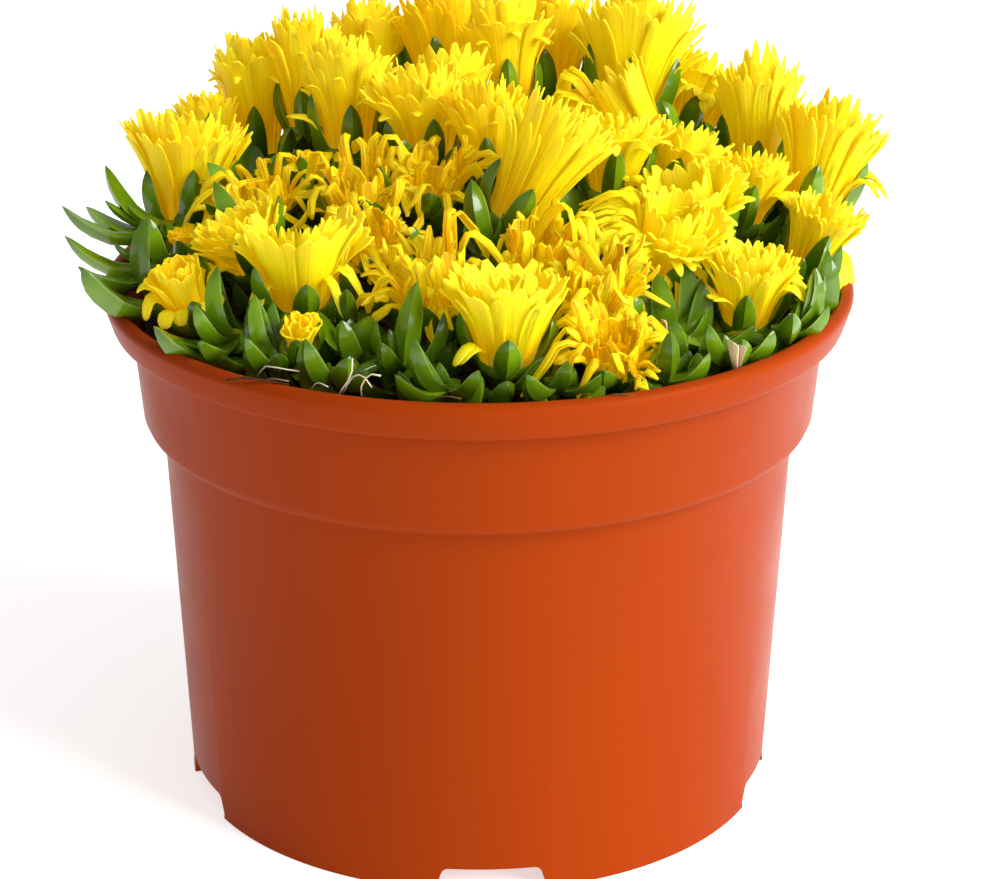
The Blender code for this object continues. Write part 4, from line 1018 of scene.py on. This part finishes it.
def sheet_shape(edge):
    """A thin sheet of petals joined side by side, with a toothed upper edge."""
    sides = 2 * SHEET_COLUMNS
    points, faces = model_arrays(raised("sheet_model", [(1.0, level) for level in SHEET_LEVELS], sides))
    turn = np.arctan2(points[:, 1], points[:, 0])
    place = np.round(turn / (2 * math.pi / sides)).astype(int) % sides
    column = np.minimum(place, sides - place)
    points[:, 0] = 1 - 2 * column / SHEET_COLUMNS
    points[:, 1] = np.sign(SHEET_COLUMNS - place) * ((column > 0) & (column < SHEET_COLUMNS))
    points[:, 2] += np.array(edge)[column] * np.clip((points[:, 2] - 0.55) / 0.45, 0, 1)
    top = next(face for face in faces if len(face) == sides and points[list(face), 2].min() > 0.7)
    ring = sorted(top, key=lambda corner: place[corner])
    strips = []
    for k in range(SHEET_COLUMNS):
        strips.append(tuple(dict.fromkeys((ring[k], ring[k + 1], ring[sides - k - 1], ring[-k]))))
    return points, [face for face in faces if face != top] + strips


def petal_finish(name, creased):
    """Silky yellow with fine lengthwise lines; older petals deepen to gold and crease. Low down they turn a
    deeper orange, partly their own colour and partly painted shade, and a faint painted glow lifts their
    shade.
    """
    finish = Finish(name)
    grain, across_petal, along_petal, tone = finish.grain()
    # The lower stop of the fresh ramp is partly painted shade.
    lemon = [(0.04, LEMON_ROOT), (0.22, LEMON_LOW_ORANGE_AND_SHADE), (0.6, LEMON), (0.9, LEMON_TIP)]
    gold = [(0.0, GOLD_ROOT), (0.25, GOLD_LOW), (0.65, GOLD)]
    yellow = finish.mixed(tone, finish.ramp(along_petal, lemon), finish.ramp(along_petal, gold))
    lines = finish.noise(finish.stretched(grain, (2.6, 0.7, 37.0)), 2.0)
    dark = finish.scaled(lines, 0.5, 0.64, 0.0, creased)
    burnt = finish.scaled(finish.unsigned(across_petal), 0.78, 1.05, 0.0, 0.75 * creased)
    return finish.done({
        "Base Color": finish.mixed(burnt, finish.mixed(dark, yellow, CREASE), CREASE),
        "Normal": finish.bumped(lines, 0.5, 0.0003),
        "Roughness": 0.5,
        "Specular IOR Level": 0.12,
        "Subsurface Weight": 1.0,
        "Subsurface Radius": (1.0, 0.5, 0.03),
        "Subsurface Scale": SKIN_GLOW_DEPTH * MM,
        # The petals glow with painted light.
        "Emission Color": PETAL_PAINTED_GLOW,
        "Emission Strength": PETAL_PAINTED_GLOW_STRENGTH,
    })


class Head:
    """A bloom's head: its place, its size, and how its petals stray from their rows."""

    def __init__(self, number, foot, tip, radius, form):
        self.foot, line = Vector(foot), Vector(tip) - Vector(foot)
        self.axis = line.normalized()
        self.right = (RIGHT - self.axis * self.axis.x).normalized()
        self.back = self.axis.cross(self.right)
        self.radius, self.length = radius, line.length - CUP_HEIGHT
        self.size, self.start = head_start(radius)
        self.draw = random.Random(HEAD_SEED + number)
        self.stray, self.most_twist = STRAY[form]
        self.uneven = UNEVEN.get(form, OTHERS_UNEVEN)
        self.lift = FRONT_LIFT.get(form, OTHERS_FRONT_LIFT)
        self.long_side = self.draw.uniform(0, 2 * math.pi)

    def out(self, turn):
        """The direction away from the axis at a bearing."""
        return outward(turn, self.right, self.back)

    def row_lines(self, row, sway, rise_stray, bow_power):
        """The bearing and the line of each sheet or petal of a row."""
        count, first, last, far, high, arch = row
        draw, stray = self.draw, self.stray
        span = last - first + (360 if last < first else 0)
        offset = draw.random() if span == 360 else 0.5
        for k in range(count):
            turn = math.radians(first + span * (k + offset) / count + draw.uniform(-sway, sway) * stray)
            longer = 1 + self.uneven * math.cos(turn - self.long_side)
            reach = far * self.radius * longer * (1 + draw.uniform(-stray, 0.4 * stray))
            rise = high * self.length * (1 + draw.uniform(-stray, rise_stray * stray))
            bow = arch * self.length * longer**bow_power * (1 + draw.uniform(-2, 2) * stray)
            yield turn, (self.start, reach, rise * (1 - self.lift * math.sin(turn)), bow)

    def tone(self, age, spread):
        """The age of one sheet or petal, near that of its bloom."""
        return min(1.0, max(0.0, age + self.draw.uniform(-spread, spread)))


def wrapped_sheet(model, head, turn, half_angle, line, tone, ruffle, phase):
    """A copy of a sheet laid round a head's axis, thin and a little ruffled."""
    points, faces = model
    foot, right, back, axis = (np.array(part[:]) for part in (head.foot, head.right, head.back, head.axis))
    across_sheet = points[:, 0]
    ripple = SHEET_RIPPLE * np.sin(8 * across_sheet + 2 * phase)
    t = points[:, 2] + ripple * np.clip((points[:, 2] - 0.6) / 0.4, 0, 1)
    spread, height = petal_line(t, *line)
    next_spread, next_height = petal_line(t + 0.01, *line)
    out_step, up_step = next_spread - spread, next_height - height
    thick = points[:, 1] * PETAL_DEPTH / 2 / np.hypot(out_step, up_step)
    far = spread + ruffle * t**2 * np.sin(3.5 * across_sheet + phase) + thick * up_step
    high = height - thick * out_step
    angle = turn - across_sheet * half_angle
    laid = foot + np.outer(np.cos(angle) * far, right) + np.outer(np.sin(angle) * far, back)
    laid = laid + np.outer(high, axis)
    grain = np.column_stack([across_sheet * SHEET_GRAIN_SPREAD, t, np.full(len(points), tone)])
    return (laid, faces), grain


pointed_petal = petal_shape(PETAL_FOLD, [
    (0.6, 0.0), (0.8, 0.2), (0.93, 0.4), (1.0, 0.58), (0.98, 0.74), (0.84, 0.86), (0.56, 0.95), (0.2, 1.0),
])
blunt_petal = petal_shape(PETAL_FOLD, [
    (0.4, 0.0), (0.6, 0.18), (0.8, 0.36), (0.93, 0.54), (1.0, 0.72), (0.97, 0.86), (0.76, 0.95),
    (0.34, 1.0),
])
strap_petal = petal_shape(STRAP_FOLD, [
    (0.45, 0.0), (0.7, 0.16), (0.84, 0.32), (0.76, 0.46), (0.95, 0.6), (1.0, 0.76), (0.8, 0.9), (0.26, 1.0),
])
petal_models = {form: blunt_petal for form in ("trumpet", "bud", "sheets", "two_lobed")}
petal_models["limp"] = strap_petal
heart_model = model_arrays(raised("heart_model", [
    (1.0, 0.0), (1.0, 0.3), (0.86, 0.62), (0.6, 0.84), (0.3, 0.96), (0.08, 1.0),
], sides=12))
stamen_model = model_arrays(raised("stamen_model", [
    (0.6, 0.0), (0.5, 0.6), (1.0, 0.84), (0.4, 1.0),
], sides=4))
fringed_sheet, ragged_sheet = sheet_shape(FRINGED_EDGE), sheet_shape(RAGGED_EDGE)
fresh_petal = petal_finish("petal_yellow", 0.2)
dry_petal = petal_finish("petal_dry", 0.85)

for number, (name, foot, tip, radius, form, age) in enumerate(BLOOMS):
    head = Head(number, foot, tip, radius, form)
    foot, axis, draw = head.foot, head.axis, head.draw
    copies = []
    slackness = LIMP_SLACK if form == "limp" else 0
    sheet = ragged_sheet if form in ("trumpet", "bud") else fringed_sheet
    for *row, cover, ruffle in SHEETS[form]:
        count, first, last = row[:3]
        half_angle = math.radians(cover * (last - first) / count / 2)
        for turn, line in head.row_lines(row, *SHEET_STRAY):
            tone = head.tone(age, SHEET_AGE_SPREAD)
            phase = draw.uniform(0, 6.3)
            copies.append(wrapped_sheet(sheet, head, turn, half_angle, line, tone, ruffle, phase))
    for *row, width in PETALS[form] + OWN_PETALS.get(name, []):
        for turn, line in head.row_lines(row, *PETAL_STRAY):
            drift = draw.uniform(-1.2, 1.2) * head.stray
            controls = []
            for k in range(PETAL_CONTROLS):
                t = k / (PETAL_CONTROLS - 1)
                spread, height = petal_line(t, *line)
                slack = Vector(draw.uniform(-1, 1) for _ in range(3)) * (t * slackness)
                controls.append(foot + head.out(turn + drift * t * t) * spread + axis * height + slack)
            wide = 0.5 * width * min(1.0, head.size * 1.1) * draw.uniform(0.82, 1.1)
            twist = head.most_twist * draw.uniform(-1, 1)
            model = petal_models.get(form, pointed_petal)
            side = axis.cross(head.out(turn))
            tone = head.tone(age, PETAL_AGE_SPREAD)
            copies.append(bent_copy(model, controls, side, wide, PETAL_DEPTH / 2, tone, twist))
    base = foot + axis * (CUP_HEIGHT - 1.0)
    top = base + axis * (1.0 + HEART_SHARE * head.length)
    line = [base, (base + top) / 2, top]
    heart, grain = bent_copy(heart_model, line, head.right, head.start, head.start, 1.0)
    grain[:, 1] *= HEART_PALE
    copies.append((heart, grain))
    for k in range(STAMENS):
        out = head.out(math.radians(GOLDEN_ANGLE * k))
        place = head.start * math.sqrt((k + 0.5) / STAMENS)
        root = foot + out * (0.8 * place) + axis * CUP_HEIGHT
        end = root + out * (0.3 * place) + axis * (head.length * draw.uniform(0.38, 0.52))
        line = [root, (root + end) / 2 + out * 0.2, end]
        side = axis.cross(out)
        copies.append(bent_copy(stamen_model, line, side, STAMEN_RADIUS, STAMEN_RADIUS, STAMEN_TONE))
    petals = piece_from(f"petals_{name}", copies, dry_petal if form == "limp" else fresh_petal)
    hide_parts(name)

# Litter: dark straw that lies on the rim, pale root hairs that curl up from the soil, and dry
# cream bracts under the blooms. They are loose, and nothing holds them.

# A bit of litter: how pale it is, its width and the points that it passes.
LITTER = [
    (0, 0.45, [(-36.7, -48.8, 85.5), (-34.6, -49.4, 86), (-32.2, -49.8, 86), (-29.6, -49.3, 85.6)]),
    (0, 0.32, [(-35.8, -48.6, 85.4), (-33.7, -50, 86.5), (-31, -50.4, 86.1), (-27.5, -50.6, 85.5)]),
    (0.45, 0.2, [(-31.5, -47.5, 84.8), (-30.2, -49.4, 86), (-27.5, -51, 86.2)]),
    (0.75, 0.22, [(-32.5, -45, 84.5), (-31, -48.6, 87.6), (-28.3, -49.2, 87.4), (-26, -48, 86.6)]),
    (0.8, 0.24, [(-20.4, -51.5, 84), (-19.6, -54.4, 86.2), (-18.2, -55.9, 89), (-18, -55.6, 91.4)]),
    (0.9, 0.26, [(-16.9, -52, 84.2), (-16.8, -55.4, 87), (-15.6, -56.6, 89.3), (-13.9, -56.8, 89.2)]),
    (0.85, 0.2, [(-19.5, -52.8, 85), (-18.1, -55, 88.3), (-16.6, -55.6, 88.8), (-15.3, -54.6, 86.6)]),
    (0.7, 0.18, [(-24.4, -50.8, 84.6), (-23.2, -53.2, 86.8), (-21.6, -53.9, 86.4)]),
    (0.15, 0.26, [(-6.5, -54.5, 84.6), (-4.6, -56.4, 85.9), (-2.4, -56.9, 85.7)]),
    (0.12, 0.22, [(17.5, -53, 84.4), (19.6, -55.2, 85.8), (22.4, -54.6, 85.4)]),
    (0.95, 2.6, [(38.2, -42, 83.5), (37.7, -43.8, 86.6), (37.3, -44.6, 89.8)]),
    (0.55, 1.5, [(38.4, -41.8, 83.5), (38.5, -43.6, 86.4), (38.7, -44.3, 89.2)]),
    (0.97, 1.2, [(28.2, -33.5, 84), (28.1, -35.4, 87), (27.6, -36.6, 90.4)]),
]
BRACT_WIDTH = 1.0
BRACT_FOLD = 0.8
LITTER_TWIST = 0.6
ROTTEN = (0.03, 0.012, 0.006, 1.0)
STRAW = (0.26, 0.15, 0.06, 1.0)
PALE_HAIR = (0.62, 0.56, 0.46, 1.0)
CREAM = (0.78, 0.6, 0.3, 1.0)


def litter_finish():
    """Dry plant matter, from near black to cream, with lengthwise streaks."""
    finish = Finish("dry_litter")
    grain, _, _, tone = finish.grain()
    dry = finish.ramp(tone, [(0.0, ROTTEN), (0.4, STRAW), (0.8, PALE_HAIR), (1.0, CREAM)])
    streaks = finish.noise(finish.stretched(grain, (3.0, 0.8, 9.0)), 3.0)
    return finish.done({
        "Base Color": finish.mixed(finish.scaled(streaks, 0.45, 0.75, 0.0, 0.5), dry, CREASE),
        "Normal": finish.bumped(streaks, 0.5, 0.0002),
        "Roughness": 0.7,
        "Specular IOR Level": 0.15,
    })


bract_model = petal_shape(BRACT_FOLD, [(0.1, 0.0), (0.32, 0.3), (0.62, 0.65), (1.0, 0.94), (0.85, 1.0)])
copies = []
for tone, width, controls in LITTER:
    controls = [Vector(point) for point in controls]
    side, _ = across((controls[-1] - controls[0]).normalized())
    model = bract_model if width > BRACT_WIDTH else branch_model
    depth = min(width, PETAL_DEPTH)
    copies.append(bent_copy(model, controls, side, width / 2, depth / 2, tone, LITTER_TWIST))
dry_litter = piece_from("dry_litter", copies, litter_finish())

# The stage, in metres: a plain pale floor that runs into the even light of the room, one broad
# soft lamp high on the right in front, and the camera where the photograph's stood.
FLOOR_SIZE = 6.0
FLOOR_COLOUR = (0.86, 0.86, 0.86, 1.0)
FLOOR_GLOW = 0.6
WHITE = (1.0, 1.0, 1.0, 1.0)
LAMP_PLACE = (0.909, -0.504, 0.67)
LAMP_AIM = (0, 0, 0.07)
LAMP_SIZE = 0.8
LAMP_WATTS = 27.5
LAMP_COLOUR = (1.0, 0.99, 0.97)
ROOM_LIGHT = 0.46
CAMERA_PLACE = (0.0, -0.4742, 0.2461)
CAMERA_PITCH = 21.77
CAMERA_LENS = 112.3
CAMERA_SENSOR = 36.0
CAMERA_SHIFT = 0.0219

start_clean()
bpy.ops.mesh.primitive_plane_add(size=FLOOR_SIZE, location=(0, 0, 0))
floor = bpy.context.object
floor.name = "floor"
floor.data.materials.append(Finish("pale_floor").done({
    "Base Color": FLOOR_COLOUR,
    "Roughness": 0.9,
    "Emission Color": WHITE,
    "Emission Strength": FLOOR_GLOW,
}))
floor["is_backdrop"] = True

lamp = bpy.data.lights.new("key_lamp", "AREA")
lamp.size = LAMP_SIZE
lamp.energy = LAMP_WATTS
lamp.color = LAMP_COLOUR
holder = new_object("key_lamp", lamp)
holder.location = LAMP_PLACE
holder.rotation_mode = "QUATERNION"
holder.rotation_quaternion = (Vector(LAMP_AIM) - Vector(LAMP_PLACE)).to_track_quat("-Z", "Y")
room = bpy.data.worlds.new("room")
room.use_nodes = True
room.node_tree.nodes["Background"].inputs["Color"].default_value = WHITE
room.node_tree.nodes["Background"].inputs["Strength"].default_value = ROOM_LIGHT
bpy.context.scene.world = room
bpy.context.scene.view_settings.view_transform = "Standard"

lens = bpy.data.cameras.new("camera")
lens.lens = CAMERA_LENS
lens.sensor_width = CAMERA_SENSOR
lens.shift_x = CAMERA_SHIFT
camera = new_object("camera", lens)
camera.location = CAMERA_PLACE
camera.rotation_euler = (math.radians(90 - CAMERA_PITCH), 0, 0)
bpy.context.scene.camera = camera

low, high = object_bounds()
{"cad": [list(cad_low), list(cad_high)], "visual": [list(low), list(high)]}
